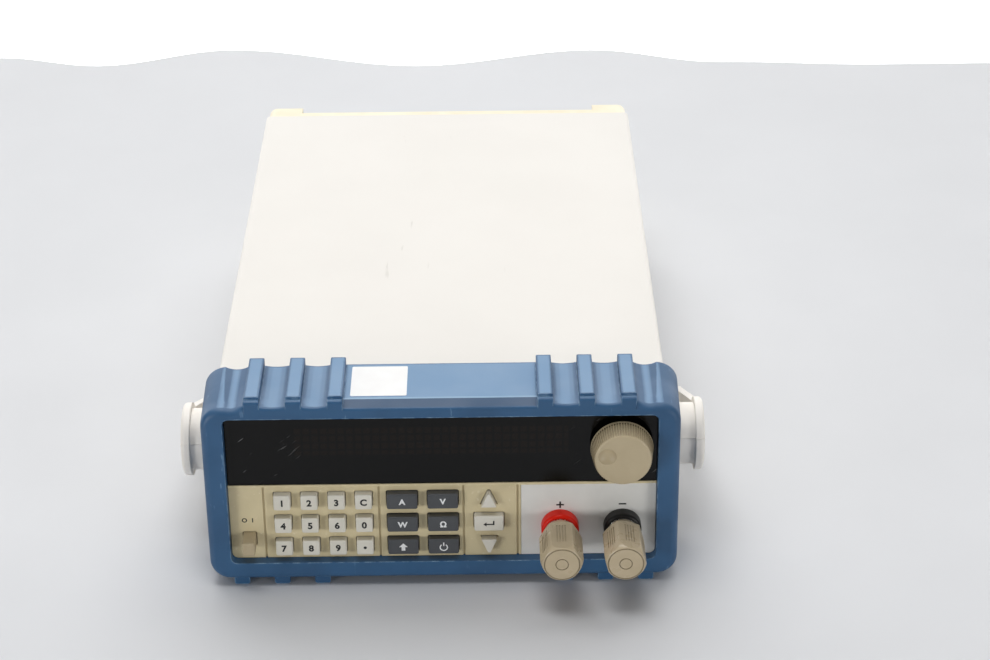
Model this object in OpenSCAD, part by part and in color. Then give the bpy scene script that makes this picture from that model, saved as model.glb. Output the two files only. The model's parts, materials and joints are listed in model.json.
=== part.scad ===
// Bench DC electronic load: sheet metal case, rubber front bumper, keypad panel with a tuning
// knob, two binding posts, a swinging carry handle, and the works inside.
// X runs to the right, Y to the back and Z up. The parts are laid out from the bumper's front
// face and from the table, then moved so that the origin lies under the middle of the whole.

/* [Case] */
// Width of the cover
case_w = 214.5; // [212:0.5:226]
// Height of the cover
case_h = 88.2; // [88:0.2:96]
// Length of the cover
case_l = 340; // [335:5:400]
// Sheet thickness of the cover
case_wall = 1.5; // [1:0.1:1.8]
// Radius of the cover's long edges
case_r = 2.5; // [2:0.1:4]
// Height of the cover's underside above the table
case_lift = 8; // [7.5:0.5:11]
// Width of one side vent slot
vent_w = 3; // [2:0.2:3.6]
// Height of one side vent slot
vent_h = 16; // [8:1:20]
// Number of vent slots in one row
vent_count = 14; // [6:1:18]
// Distance from one vent slot to the next
vent_pitch = 7; // [6:0.5:8]
// Radius of a rubber foot under the rear of the case
foot_r = 8; // [6:0.5:10]

/* [Front bumper] */
// Depth of the bumper
bumper_d = 40.3; // [36:0.1:46]
// Thickness of the bumper beside the case
bumper_side = 5.35; // [4.5:0.05:7]
// Thickness of the bumper above and below the case
bumper_wall = 4; // [3.5:0.1:5]
// Outer corner radius of the bumper
bumper_r = 10; // [8:0.5:11]
// Rounding of the bumper's front edge
bumper_edge = 3.5; // [3:0.5:6]
// Growth of the bumper's outline towards the back, on each side
bumper_flare = 1; // [0:0.1:1.5]
// Height of the ribbed deck above the bumper's corners
deck_h = 1.6; // [1:0.1:3]
// Rounding of the front edge of the deck and its ribs
deck_edge = 1.5; // [1:0.1:3]
// Thickness of the lip in front of the panel rim
lip_d = 6.5; // [6:0.1:7.5]
// Width of panel rim that the lip covers at the sides
lip_side = 5.15; // [4.5:0.05:6]
// Height of panel rim that the lip covers at the top
lip_top = 2.7; // [2.4:0.1:4]
// Height of panel rim that the lip covers at the bottom
lip_bottom = 5.6; // [5:0.1:6.5]
// Corner radius of the front opening
open_r = 3; // [2:0.5:5]
// Width of a stacking rib
rib_w = 7.2; // [5:0.1:8]
// Height of a stacking rib
rib_h = 4; // [3:0.5:5]
// Distance of the innermost rib from the middle
rib_x = 49; // [45:0.5:50]
// Distance from one rib to the next
rib_pitch = 19.5; // [18:0.5:20]
// Set-back of the ribs from the front face
rib_set = 2.7; // [2:0.1:4]
// Height of the rib's step behind the front
rib_step = 1.2; // [0.8:0.1:2]
// Depth of the scallops that take the stubs of a stacked unit
scallop_depth = 0.8; // [0.5:0.1:2]
// Width of a stub under the bumper
stub_w = 7.5; // [6:0.5:9]
// Rounding of a stub's lower edges
stub_r = 1.2; // [1:0.1:3]

/* [Front panel] */
// Depth of the panel face behind the bumper's front face
panel_recess = 5; // [4:0.1:5.5]
// Thickness of the panel
panel_t = 3; // [2.8:0.1:3.2]
// Thickness of the rim that the cover butts against
rim_t = 4.5; // [4:0.1:5]
// Length of the skirt inside the cover
skirt_l = 14; // [10:1:18]
// Thickness of the skirt
skirt_t = 2.5; // [2:0.1:3]
// Height of the display window
window_h = 38.7; // [34:0.1:40]
// Thickness of the display window
window_t = 2; // [1.5:0.1:2.2]
// Height of the ledge below the window
ledge_h = 1.2; // [1:0.1:2]
// Height of the key field below the ledge
key_field_h = 40; // [39:0.1:42]
// Reach of the ledge in front of the panel face
ledge_out = 0.6; // [0.3:0.1:1]
// Width of the grooves between the key fields
groove_w = 1; // [0.6:0.1:1.5]
// Depth of the grooves between the key fields
groove_cut = 0.8; // [0.4:0.1:1.2]
// Width of the power button field
power_field = 16.7; // [16:0.1:18]
// Width of the number key field
number_field = 55.1; // [54:0.1:57]
// Width of the function key field
function_field = 40.3; // [39:0.1:42]
// Width of the arrow key field
arrow_field = 25.9; // [25:0.1:27]
// Width of the input field
input_field = 66.2; // [64:0.1:68]
// Thickness of the input plate
plate_t = 1.5; // [1:0.1:1.6]
// Width of the display module
display_w = 130; // [110:1:140]
// Height of the display module
display_h = 25; // [20:0.5:26]

/* [Keys] */
// Reach of the keys in front of the panel
key_reach = 3.7; // [2.5:0.1:4]
// Travel of the keys
key_travel = 1; // [0.5:0.1:1.2]
// Gap between a key and its hole
key_gap = 0.35; // [0.2:0.05:0.5]
// Corner radius of a key
key_r = 1; // [0.8:0.1:1.5]
// Rounding of a key's front edge
key_edge = 0.7; // [0.3:0.1:0.8]
// Width and height of a number key
number_size = 8.15; // [7:0.05:9]
// Distance from one number key column to the next
number_pitch = 12.95; // [12.5:0.05:13.2]
// Distance of the first number key from its field's left edge
number_inset = 9; // [8:0.1:10]
// Height of the lowest key row above the opening's lower edge
row_base = 7.35; // [7:0.05:7.6]
// Distance from one key row to the next
row_pitch = 12.8; // [12.2:0.1:13]
// Width of a function key
function_w = 14.7; // [13:0.1:15]
// Height of a function key
function_h = 8.3; // [7:0.1:9]
// Distance from one function key column to the next
function_pitch = 19.4; // [19:0.1:20]
// Distance of the first function key from its field's left edge
function_inset = 11.1; // [10.5:0.1:11.5]
// Width of the enter key
enter_w = 14.2; // [12:0.1:15]
// Width of an arrow key
arrow_w = 7.5; // [6:0.1:8]
// Height of an arrow key
arrow_h = 7.4; // [6:0.1:8]
// Distance of the arrow keys from their field's left edge
arrow_inset = 12.1; // [11:0.1:13]
// Width of the power button
button_w = 6.2; // [5:0.1:7]
// Height of the power button
button_h = 7.1; // [6:0.1:8]
// Reach of the power button in front of the panel
button_reach = 10.6; // [8:0.1:12]
// Travel of the power button
button_travel = 3.5; // [2:0.1:4]
// Height of the power button above the opening's lower edge
button_z = 11.2; // [10:0.1:12]

/* [Knob] */
// Diameter of the knob at the back
knob_d = 29.7; // [26:0.1:31]
// Diameter of the knob at the front
knob_front_d = 27.3; // [25:0.1:28]
// Length of the knob
knob_l = 11; // [9:0.5:13]
// Gap between the knob and the window
knob_gap = 3.5; // [3:0.1:4]
// Number of flutes round the knob
knob_flutes = 72; // [48:2:80]
// Radius of one flute
flute_r = 0.45; // [0.3:0.01:0.5]
// Diameter of the finger dimple
dimple_d = 8.7; // [7:0.1:9.5]
// Distance of the dimple from the knob's axis
dimple_x = 7.7; // [7:0.1:8.5]
// Depth of the finger dimple
dimple_depth = 2.2; // [1:0.1:2.5]
// Turn of the dimple above the knob's middle
dimple_turn = 15; // [0:1:90]
// Distance of the knob's axis from the opening's right edge
knob_inset = 17; // [16:0.1:18]
// Height of the knob's axis above the window's lower edge
knob_z = 20; // [19.5:0.1:20.5]
// Diameter of the encoder's shaft
shaft_d = 6; // [5:0.1:6.4]

/* [Binding posts] */
// Distance from one post to the other
post_pitch = 29.9; // [26:0.1:32]
// Distance of the black post from the opening's right edge
post_inset = 16.1; // [15:0.1:17]
// Height of the posts above the opening's lower edge
post_z = 16.5; // [15:0.1:18]
// Diameter of the insulating collars
collar_d = 18.1; // [17:0.1:20]
// Thickness of the collars in front of the plate
collar_t = 6; // [4:0.1:7]
// Distance across the flats of a cap
cap_flats = 18; // [16:0.1:19]
// Diameter across the rounded corners of a cap
cap_d = 20.4; // [18:0.1:21]
// Length of a cap
cap_l = 27; // [24:0.5:30]
// Diameter of the studs
stud_d = 6; // [5:0.1:7]
// Thickness of the clamp washers
washer_t = 1; // [0.8:0.1:1.5]
// Turn of the black cap against the red one
cap_turn = 15; // [0:1:30]

/* [Handle] */
// Radius of the handle's hub
hub_r = 15.2; // [14:0.1:16]
// Radius of the disc outside the hub
disc_r = 18; // [17:0.1:20]
// Rounding of the disc's outer edge
disc_edge = 2.2; // [1:0.1:3]
// Thickness of the arms
arm_t = 4.4; // [4:0.1:6]
// Distance of the arms from the case
arm_out = 16.4; // [12:0.1:18]
// Distance from the pivot to the grip bar
arm_l = 131; // [125:1:140]
// Height of the pivot above the case's underside
pivot_h = 42.5; // [41:0.5:45]
// Thickness of the grip bar
bar_t = 5.6; // [4.5:0.1:6]
// Width of the grip bar
bar_w = 22; // [16:0.5:26]
// Diameter of the pivot pins
pin_d = 10; // [8:0.5:12]

/* [Rear] */
// Thickness of the rear bezel
bezel_t = 7; // [6:0.1:9]
// Inset of the bezel from the cover's outline
bezel_inset = 1; // [0.5:0.1:1.5]
// Corner radius of the bezel
bezel_r = 5; // [3:0.5:6]
// Width of the bezel's border beside the rear panel
bezel_border_x = 13; // [12:0.5:14]
// Height of the bezel's border above and below the rear panel
bezel_border_z = 8; // [7:0.5:8.5]
// Width of the corner blocks
block_w = 20; // [16:0.5:22]
// Height of the corner blocks
block_h = 16; // [12:0.5:18]
// Reach of the corner blocks behind the bezel
block_out = 7; // [7:0.1:9]
// Thickness of the rear panel
rear_t = 1.5; // [1:0.1:2]
// Width of the fan
fan_w = 60; // [56:1:62]
// Depth of the fan
fan_d = 25; // [20:1:28]
// Number of fan blades
fan_blades = 7; // [5:1:9]
// Distance of the fan from the middle
fan_x = 45; // [42:0.5:48]

// Width of the line selector
selector_w = 27; // [24:0.5:30]
// Height of the line selector
selector_h = 12; // [10:0.5:14]
// Travel of the line selector's slider
selector_travel = 8; // [6:0.5:9]

/* [Works] */
// Sheet thickness of the chassis tray
tray_t = 1.5; // [1.2:0.1:2]
// Length of the heat sink
sink_l = 170; // [140:5:180]
// Number of heat sink fins
sink_fins = 11; // [7:1:12]
// Thickness of a circuit board
board_t = 1.6; // [1.2:0.1:2]
// Width of the transformer's core
core_w = 58; // [50:1:62]
// Depth of the transformer's core
core_d = 30; // [24:1:34]
// Height of the transformer's core
core_h = 50; // [40:1:54]
// Width of a power transistor
chip_w = 16; // [14:0.5:20]
// Height of a power transistor
chip_h = 21; // [18:0.5:26]
// Thickness of a power transistor
chip_t = 5; // [4:0.1:6]
// Radius of a large capacitor
capacitor_r = 9; // [7:0.5:10]
// Height of a large capacitor
capacitor_h = 32; // [25:1:36]

/* [Hidden] */
$fn = 64;
// Clearance of pieces that are pushed together
fit = 0.3;
// Radial clearance of turning fits
run_fit = 0.05;
// Overrun of cuts
cut = 1;

// Heights and depths that several pieces share
case_top = case_lift + case_h;
case_mid = case_lift + case_h / 2;
open_w = case_w - 2 * lip_side;
open_z0 = case_lift + lip_bottom;
open_z1 = case_top - lip_top;
open_mid = (open_z0 + open_z1) / 2;
open_h = open_z1 - open_z0;
bumper_w = case_w + 2 * bumper_side;
bumper_h = case_h + 2 * bumper_wall;
bumper_top = case_top + bumper_wall;
face_y = panel_recess;
panel_back = face_y + panel_t;
cover_y0 = lip_d + rim_t;
cover_y1 = cover_y0 + case_l;
inner_w = case_w - 2 * case_wall;
inner_h = case_h - 2 * case_wall;
skirt_w = inner_w - 2 * fit;
skirt_h = inner_h - 2 * fit;

// The panel's fields fill the opening, whatever its size
spread_x = open_w / (power_field + number_field + function_field + arrow_field + input_field);
spread_z = open_h / (window_h + ledge_h + key_field_h);
pane_h = window_h * spread_z;
ledge_rise = ledge_h * spread_z;
window_z0 = open_z1 - pane_h;
ledge_z0 = window_z0 - ledge_rise;
screen_w = display_w * spread_x;
screen_h = display_h * spread_z;

// Fields of the panel, from left to right
left_x = -open_w / 2;
number_x0 = left_x + power_field * spread_x;
function_x0 = number_x0 + number_field * spread_x;
arrow_x0 = function_x0 + function_field * spread_x;
arrow_x1 = arrow_x0 + arrow_field * spread_x;
plate_x0 = arrow_x1 + 1.5 * groove_w;
dividers = [number_x0, function_x0, arrow_x0, arrow_x1];

// Keys
function row_z(row) = open_z0 + (row_base + row * row_pitch) * spread_z;
function number_x(column) = number_x0 + (number_inset + column * number_pitch) * spread_x;
function function_x(column) = function_x0 + (function_inset + column * function_pitch) * spread_x;
arrow_x = arrow_x0 + arrow_inset * spread_x;
power_x = left_x + (power_field / 2 + 0.8) * spread_x;
power_z = open_z0 + button_z * spread_z;
flange_t = 1;
flange_out = 0.8;
flange_gap = 0.1;
flange_back = panel_back + flange_gap + flange_t;
dome_y = flange_back + key_travel + 0.15;
dome_h = 0.75;
mat_t = 1.2;
board_y = dome_y + dome_h + mat_t;
number_keys = [
    ["key_7", 0, 0], ["key_8", 1, 0], ["key_9", 2, 0], ["key_point", 3, 0],
    ["key_4", 0, 1], ["key_5", 1, 1], ["key_6", 2, 1], ["key_0", 3, 1],
    ["key_1", 0, 2], ["key_2", 1, 2], ["key_3", 2, 2], ["key_escape", 3, 2]
];
function_keys = [
    ["key_shift", 0, 0], ["key_output", 1, 0],
    ["key_watt", 0, 1], ["key_ohm", 1, 1],
    ["key_ampere", 0, 2], ["key_volt", 1, 2]
];

// Screw bosses that carry the display board
boss_r = 3;
boss_in = 3.5;
boss_x = screen_w / 2 + 2 * boss_r;
bosses = [for (x = [-1, 1], z = [window_z0 + boss_in, open_z1 - boss_in]) [x * boss_x, z]];

// Knob and posts
knob_x = open_w / 2 - knob_inset * spread_x;
knob_mid = window_z0 + knob_z * spread_z;
knob_back = face_y - knob_gap;
knob_front = knob_back - knob_l;
shaft_r = shaft_d / 2;
bushing_r = shaft_r + 0.9;
black_x = open_w / 2 - post_inset * spread_x;
red_x = black_x - post_pitch;
post_mid = open_z0 + post_z * spread_z;
spigot_r = 5.5;
stud_r = stud_d / 2;
collar_front = face_y - collar_t;
cap_back = collar_front - washer_t;
cap_front = cap_back - cap_l;
nut_r = 1.07 * stud_d;
nut_t = 0.8 * stud_d;
stud_tail = 2.7 * stud_d;

// Handle
hub_y = bumper_d + hub_r + 0.5;
hub_z = case_lift + pivot_h;
bar_z = case_lift / 2;
arm_angle = asin((hub_z - bar_z) / arm_l);
arm_x0 = case_w / 2 + arm_out;
arm_x1 = arm_x0 + arm_t;
pin_r = pin_d / 2;
head_r = pin_r + 3;

// Rear
bezel_y1 = cover_y1 + bezel_t;
rear_y = bezel_y1 + block_out;
bezel_w = case_w - 2 * bezel_inset;
bezel_h = case_h - 2 * bezel_inset;
rear_open_w = case_w - 2 * bezel_border_x;
rear_open_h = case_h - 2 * bezel_border_z;
rear_y0 = cover_y1 + 0.5;
rear_y1 = rear_y0 + rear_t;
rear_w = skirt_w - 2 * skirt_t - 2 * fit;
rear_h = skirt_h - 2 * skirt_t - 2 * fit;
rear_notch = 7;
bezel_screw_x = case_w / 2 - 6.5;
bezel_screw_z = case_h / 2 - 5.2;
screw_seat_y = bezel_y1 - 2;
screw_r = 1.5;
screw_hole_r = screw_r + 0.2;
screw_head_r = 2.8;
screw_head_t = 2;
fan_hole = fan_w - 10;
inlet_hole = [28, 20.4];
inlet_flange = [50, 22.5];
inlet_pitch = 40;
inlet_x = (inlet_flange[0] - rear_open_w) / 2 + 1.25;
inlet_z = case_mid - 16;
selector_x = inlet_x;
selector_z = case_mid + 17;
selector_hole = [selector_w, selector_h];
slider_w = 0.22 * selector_w;
slider_h = 0.42 * selector_h;
serial_x = inlet_x + inlet_flange[0];
serial_z = inlet_z;
serial_hole = [20, 10.5];
serial_pitch = 25;
sense_x = serial_x;
sense_z = selector_z;
sense_hole = [20, 11];

// Works inside
tray_z0 = case_lift + case_wall + fit;
tray_z1 = tray_z0 + tray_t;
tray_w = inner_w - 2 * skirt_t - 4 * fit;
tray_y0 = cover_y0 + skirt_l + 2;
tray_y1 = cover_y1 - skirt_l - 0.5;
switch_y0 = tray_y0;
switch_l = 22;
switch_w = 13;
fan_y0 = rear_y0 - fan_d;
sink_y1 = fan_y0 - 4;
sink_base = 6;
sink_w = 66;
sink_x0 = fan_x - sink_w / 2;
sink_top = case_mid + 32;
main_x0 = -tray_w / 2 + 4;
main_x1 = sink_x0 - 12;
main_y0 = cover_y0 + 140;
main_y1 = tray_y1 - 6;
main_z = tray_z1 + 6;

// The whole instrument is centred over the origin
mid_y = (rear_y + cap_front) / 2;

// Extrudes an outline drawn in X and Z from one depth to another
module run_y(y0, y1) {
    translate([0, y1, 0])
        rotate([90, 0, 0])
            linear_extrude(y1 - y0) children();
}

// Round bar along Y
module rod_y(r, y0, y1) {
    translate([0, y1, 0])
        rotate([90, 0, 0])
            cylinder(r = r, h = y1 - y0);
}

// Round bar along X
module rod_x(r, x0, x1) {
    translate([x0, 0, 0])
        rotate([0, 90, 0])
            cylinder(r = r, h = x1 - x0);
}

// Turned shape on a Y axis: the outline gives radius and distance towards the front
module turned_y(y0) {
    translate([0, y0, 0])
        rotate([90, 0, 0])
            rotate_extrude() children();
}

// Rectangle with round corners
module rounded(w, h, r) {
    square([w - 2 * r, h], center = true);
    square([w, h - 2 * r], center = true);
    for (x = [-1, 1], z = [-1, 1])
        translate([x * (w / 2 - r), z * (h / 2 - r)]) circle(r);
}

// Section through a rounded front edge, seen along that edge
module edge_section(r, d, edge, flare = 0) {
    difference() {
        polygon([[0, 0], [r, 0], [r, edge], [r + flare, d], [0, d]]);
        difference() {
            translate([r - edge, -cut]) square([edge + cut, edge + cut]);
            translate([r - edge, edge]) circle(edge);
        }
    }
}

// Block from the front face backwards, with round corners and a rounded front edge
module soft_block(w, h, d, r, edge, flare = 0) {
    side_x = w / 2 - r;
    side_z = h / 2 - r;
    run_y(0, d) square([2 * side_x, 2 * side_z], center = true);
    for (turn = [0, 180]) rotate([0, turn, 0]) {
        translate([side_x, 0, -side_z])
            linear_extrude(2 * side_z) edge_section(r, d, edge, flare);
        translate([side_x, 0, side_z])
            rotate([0, -90, 0])
                linear_extrude(2 * side_x) edge_section(r, d, edge, flare);
        for (z = [-1, 1])
            translate([side_x, 0, z * side_z])
                rotate([0, z > 0 ? -90 : 0, 0])
                    rotate([-90, 0, 0])
                        rotate_extrude(angle = 90) edge_section(r, d, edge, flare);
    }
}

// Places the children at the rib or scallop positions on both sides
module at_ribs(first) {
    for (side = [-1, 1], i = [0:2])
        translate([side * (first + i * rib_pitch), 0, 0]) children();
}

// Stub that stands on the table, or in a scallop of the unit below
module stub_outline() {
    top = case_lift - bumper_wall + cut;
    translate([-stub_w / 2, stub_r]) square([stub_w, top - stub_r]);
    translate([stub_r - stub_w / 2, 0]) square([stub_w - 2 * stub_r, top]);
    for (x = [-1, 1])
        translate([x * (stub_w / 2 - stub_r), stub_r]) circle(stub_r);
}

// Cut for one scallop, opening towards the front like the edge it runs out of
module scallop_cut(depth, edge) {
    half = (rib_pitch - rib_w) / 2 + 0.3;
    r = (pow(half, 2) + pow(depth, 2)) / (2 * depth);
    translate([0, 0, bumper_top - depth + r]) {
        rod_y(r, -cut, bumper_d + cut, $fn = 128);
        rotate([-90, 0, 0]) rotate_extrude($fn = 128)
            difference() {
                translate([0, -cut]) square([r + edge, edge + cut]);
                translate([r + edge, edge]) circle(edge, $fn = 64);
            }
    }
}

// Bar along the bumper's top with a rounded front edge
module top_bar(half, top, root) {
    translate([half, 0, bumper_top + top - root])
        rotate([0, -90, 0])
            linear_extrude(2 * half) edge_section(root, bumper_d, deck_edge);
}

module front_bumper() {
    scallop_x = rib_x + rib_pitch / 2;
    deck_x = scallop_x + 2 * rib_pitch;
    deck_root = deck_h + 1.2 * bumper_edge;
    foot_h = rib_h - rib_step;
    color("#33506b") {
        difference() {
            union() {
                translate([0, 0, case_mid - deck_h / 2])
                    soft_block(bumper_w, bumper_h - deck_h, bumper_d, bumper_r, bumper_edge, bumper_flare);
                top_bar(deck_x, 0, deck_root);
            }
            run_y(-cut, lip_d + cut)
                translate([0, open_mid]) rounded(open_w, open_h, open_r);
            run_y(lip_d, bumper_d + cut)
                translate([0, case_mid]) rounded(case_w + fit, case_h + fit, case_r);
            for (side = [-1, 1]) {
                for (i = [0, 1])
                    translate([side * (scallop_x + i * rib_pitch), 0, 0])
                        scallop_cut(scallop_depth, deck_edge);
                translate([side * deck_x, 0, 0])
                    scallop_cut(deck_h + 0.4, bumper_edge);
            }
        }
        at_ribs(rib_x) {
            top_bar(rib_w / 2, foot_h, foot_h + bumper_edge);
            run_y(rib_set, bumper_d)
                translate([0, bumper_top + rib_h - (rib_h + 2) / 2])
                    rounded(rib_w, rib_h + 2, 0.6);
        }
        at_ribs(scallop_x) run_y(rib_set, bumper_d) stub_outline();
    }
}

// Places the children in every hole of one kind
module at_number_keys() {
    for (key = number_keys)
        translate([number_x(key[1]), 0, row_z(key[2])]) children();
}

module at_function_keys() {
    for (key = function_keys)
        translate([function_x(key[1]), 0, row_z(key[2])]) children();
}

module arrow_outline(up, grow) {
    top = (up ? 1 : -1) * (arrow_h / 2 + 1.6 * grow);
    base = (up ? -1 : 1) * (arrow_h / 2 + grow);
    half = arrow_w / 2 + 1.7 * grow;
    polygon([[-half, base], [half, base], [0.6, top], [-0.6, top]]);
}

module key_holes() {
    hole = 2 * key_gap;
    run_y(face_y - cut, panel_back + cut) {
        for (key = number_keys)
            translate([number_x(key[1]), row_z(key[2])])
                rounded(number_size + hole, number_size + hole, key_r);
        for (key = function_keys)
            translate([function_x(key[1]), row_z(key[2])])
                rounded(function_w + hole, function_h + hole, key_r);
        translate([arrow_x, row_z(1)]) rounded(enter_w + hole, function_h + hole, key_r);
        translate([arrow_x, row_z(2)]) arrow_outline(true, key_gap);
        translate([arrow_x, row_z(0)]) arrow_outline(false, key_gap);
        translate([power_x, power_z]) rounded(button_w + hole, button_h + hole, key_r);
    }
}

module front_panel() {
    color("#bcaf8d") {
        difference() {
            union() {
                run_y(face_y, panel_back)
                    translate([0, open_mid]) rounded(open_w - fit, open_h - fit, open_r);
                run_y(lip_d, cover_y0)
                    translate([0, case_mid]) rounded(case_w, case_h, case_r);
                run_y(cover_y0 - cut, cover_y0 + skirt_l)
                    translate([0, case_mid]) rounded(skirt_w, skirt_h, case_r);
                translate([-(open_w - fit) / 2, face_y - ledge_out, ledge_z0])
                    cube([open_w - fit, ledge_out + cut, ledge_rise]);
            }
            // hollow behind the face, kept inside the skirt
            run_y(panel_back, cover_y0 + skirt_l + cut)
                translate([0, open_mid]) rounded(open_w - 2 * fit, open_h - 2 * fit, open_r);
            // seat of the window and the view through to the display
            translate([-open_w / 2, face_y - cut, window_z0])
                cube([open_w, window_t + cut, pane_h]);
            run_y(face_y, panel_back + cut)
                translate([0, (window_z0 + open_z1) / 2])
                    square([screen_w - 6, screen_h - 4], center = true);
            // seat of the input plate
            translate([plate_x0, face_y - cut, open_z0])
                cube([open_w / 2 - plate_x0, plate_t + cut, ledge_z0 - open_z0]);
            for (x = dividers)
                translate([x - groove_w / 2, face_y - cut, open_z0])
                    cube([groove_w, groove_cut + cut, ledge_z0 - open_z0]);
            key_holes();
            for (x = [red_x, black_x])
                translate([x, 0, post_mid]) rod_y(spigot_r + fit, face_y - cut, panel_back + cut);
            translate([knob_x, 0, knob_mid]) rod_y(bushing_r + fit, face_y - cut, panel_back + cut);
        }
        for (place = bosses)
            translate([place[0], 0, place[1]])
                rod_y(boss_r, panel_back - 0.5, board_y);
    }
}

module display_window() {
    color("#1c1b19")
        difference() {
            run_y(face_y, face_y + window_t)
                difference() {
                    translate([0, open_mid]) rounded(open_w - fit, open_h - fit, open_r);
                    translate([-open_w, window_z0 - 2 * open_h]) square([2 * open_w, 2 * open_h]);
                }
            translate([knob_x, 0, knob_mid]) rod_y(bushing_r + fit, face_y - cut, panel_back);
        }
}

module input_plate() {
    color("#c0bfba")
        difference() {
            run_y(face_y, face_y + plate_t)
                intersection() {
                    translate([0, open_mid]) rounded(open_w - fit, open_h - fit, open_r);
                    translate([plate_x0 + fit / 2, open_z0])
                        square([open_w, ledge_z0 - open_z0 - fit / 2]);
                }
            for (x = [red_x, black_x])
                translate([x, 0, post_mid]) rod_y(spigot_r + fit, 0, panel_back);
        }
}

// One key: the cap that shows, its stem through the panel and the flange behind it
module key_body(w, h) {
    translate([0, face_y - key_reach, 0])
        soft_block(w, h, key_reach + panel_t + flange_gap, key_r, key_edge);
    run_y(panel_back + flange_gap, flange_back)
        rounded(w + 2 * flange_out, h + 2 * flange_out, key_r);
}

module number_key(column, row) {
    color("#d0cdc3")
        translate([number_x(column), 0, row_z(row)]) key_body(number_size, number_size);
}

module function_key(column, row) {
    color("#414449")
        translate([function_x(column), 0, row_z(row)]) key_body(function_w, function_h);
}

module key_enter() {
    color("#d0cdc3")
        translate([arrow_x, 0, row_z(1)]) key_body(enter_w, function_h);
}

module arrow_key(up, row) {
    color("#d0cdc3")
        translate([arrow_x, 0, row_z(row)]) {
            run_y(face_y - key_reach, panel_back + flange_gap) arrow_outline(up, -0.1);
            run_y(panel_back + flange_gap, flange_back)
                rounded(arrow_w + 2 * flange_out, arrow_h + 2 * flange_out, key_r);
        }
}

module power_button() {
    stem_r = 1.8;
    color("#9e8e75")
        translate([power_x, 0, power_z]) {
            translate([0, face_y - button_reach, 0])
                soft_block(button_w, button_h, button_reach + panel_t + flange_gap, key_r, key_edge);
            run_y(panel_back + flange_gap, flange_back)
                rounded(button_w + 2 * flange_out, button_h + 2 * flange_out, key_r);
            rod_y(stem_r, flange_back - 0.2, switch_y0 + 2);
        }
}

module power_switch() {
    color("#2b2b2b")
        translate([power_x, 0, power_z])
            difference() {
                run_y(switch_y0, switch_y0 + switch_l) rounded(switch_w, switch_w, 1);
                rod_y(2.1, switch_y0 - cut, switch_y0 + 2 + button_travel + 1);
            }
}

module tuning_knob() {
    back_r = knob_d / 2;
    front_r = knob_front_d / 2;
    lean = atan((back_r - front_r) / knob_l);
    flute_in = 0.65 * flute_r;
    dimple_r = (pow(dimple_d / 2, 2) + pow(dimple_depth, 2)) / (2 * dimple_depth);
    color("#a39477")
        translate([knob_x, 0, knob_mid])
            difference() {
                turned_y(knob_back) {
                    polygon([[0, 0], [back_r, 0], [front_r, knob_l - 1.2], [front_r - 1.2, knob_l],
                        [0, knob_l]]);
                    translate([front_r - 1.25, knob_l - 1.25]) circle(1.2);
                }
                for (i = [0:knob_flutes - 1])
                    rotate([0, i * 360 / knob_flutes, 0])
                        translate([back_r - flute_in, knob_back - 1.2, 0])
                            rotate([90, 0, -lean])
                                cylinder(r = flute_r, h = knob_l + cut, $fn = 16);
                rod_y(shaft_r, knob_front + 4, knob_back + cut);
                rotate([0, dimple_turn, 0])
                    translate([-dimple_x, knob_front - dimple_r + dimple_depth, 0]) sphere(dimple_r);
            }
}

module encoder_shaft() {
    color("silver")
        translate([knob_x, 0, knob_mid]) rod_y(shaft_r, knob_front + 4, board_y - 1.5);
}

module rotary_encoder() {
    body_w = 12.5;
    body_y = panel_back + 0.2;
    color("#8d8f92")
        translate([knob_x, 0, knob_mid])
            difference() {
                union() {
                    run_y(body_y, board_y) rounded(body_w, body_w, 1);
                    rod_y(bushing_r, knob_back + 0.5, body_y + 0.5);
                }
                rod_y(shaft_r + run_fit, knob_back, board_y - 1.2);
            }
}

module post_collar(x) {
    bore_r = stud_r + 0.2;
    edge = 1.5;
    depth = panel_back + 1.5 - face_y;
    rim_r = collar_d / 2 - edge;
    front = depth + collar_t;
    translate([x, 0, post_mid])
        turned_y(panel_back + 1.5) {
            polygon([[bore_r, 0], [spigot_r, 0], [spigot_r, depth], [collar_d / 2, depth],
                [collar_d / 2, front - edge], [rim_r, front - edge], [rim_r, front], [bore_r, front]]);
            intersection() {
                translate([rim_r, front - edge]) circle(edge);
                translate([rim_r, front - edge]) square(edge);
            }
        }
}

module red_post_collar() color("#d8240e") post_collar(red_x);
module black_post_collar() color("#2a2826") post_collar(black_x);

// Threaded stud with the nut that clamps the collar from behind
module post_stud(x) {
    nut_y = panel_back + 1.5;
    color("#c9a84a")
        translate([x, 0, post_mid]) {
            rod_y(stud_r, cap_front + 5, nut_y + stud_tail);
            difference() {
                run_y(nut_y, nut_y + nut_t) circle(r = nut_r, $fn = 6);
                rod_y(stud_r - 0.01, nut_y - cut, nut_y + nut_t + cut);
            }
        }
}

module post_washer(x) {
    color("silver")
        translate([x, 0, post_mid])
            difference() {
                rod_y(collar_d / 2 - 1.6, cap_back, collar_front);
                rod_y(stud_r + 0.25, cap_back - cut, collar_front + cut);
            }
}

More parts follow.
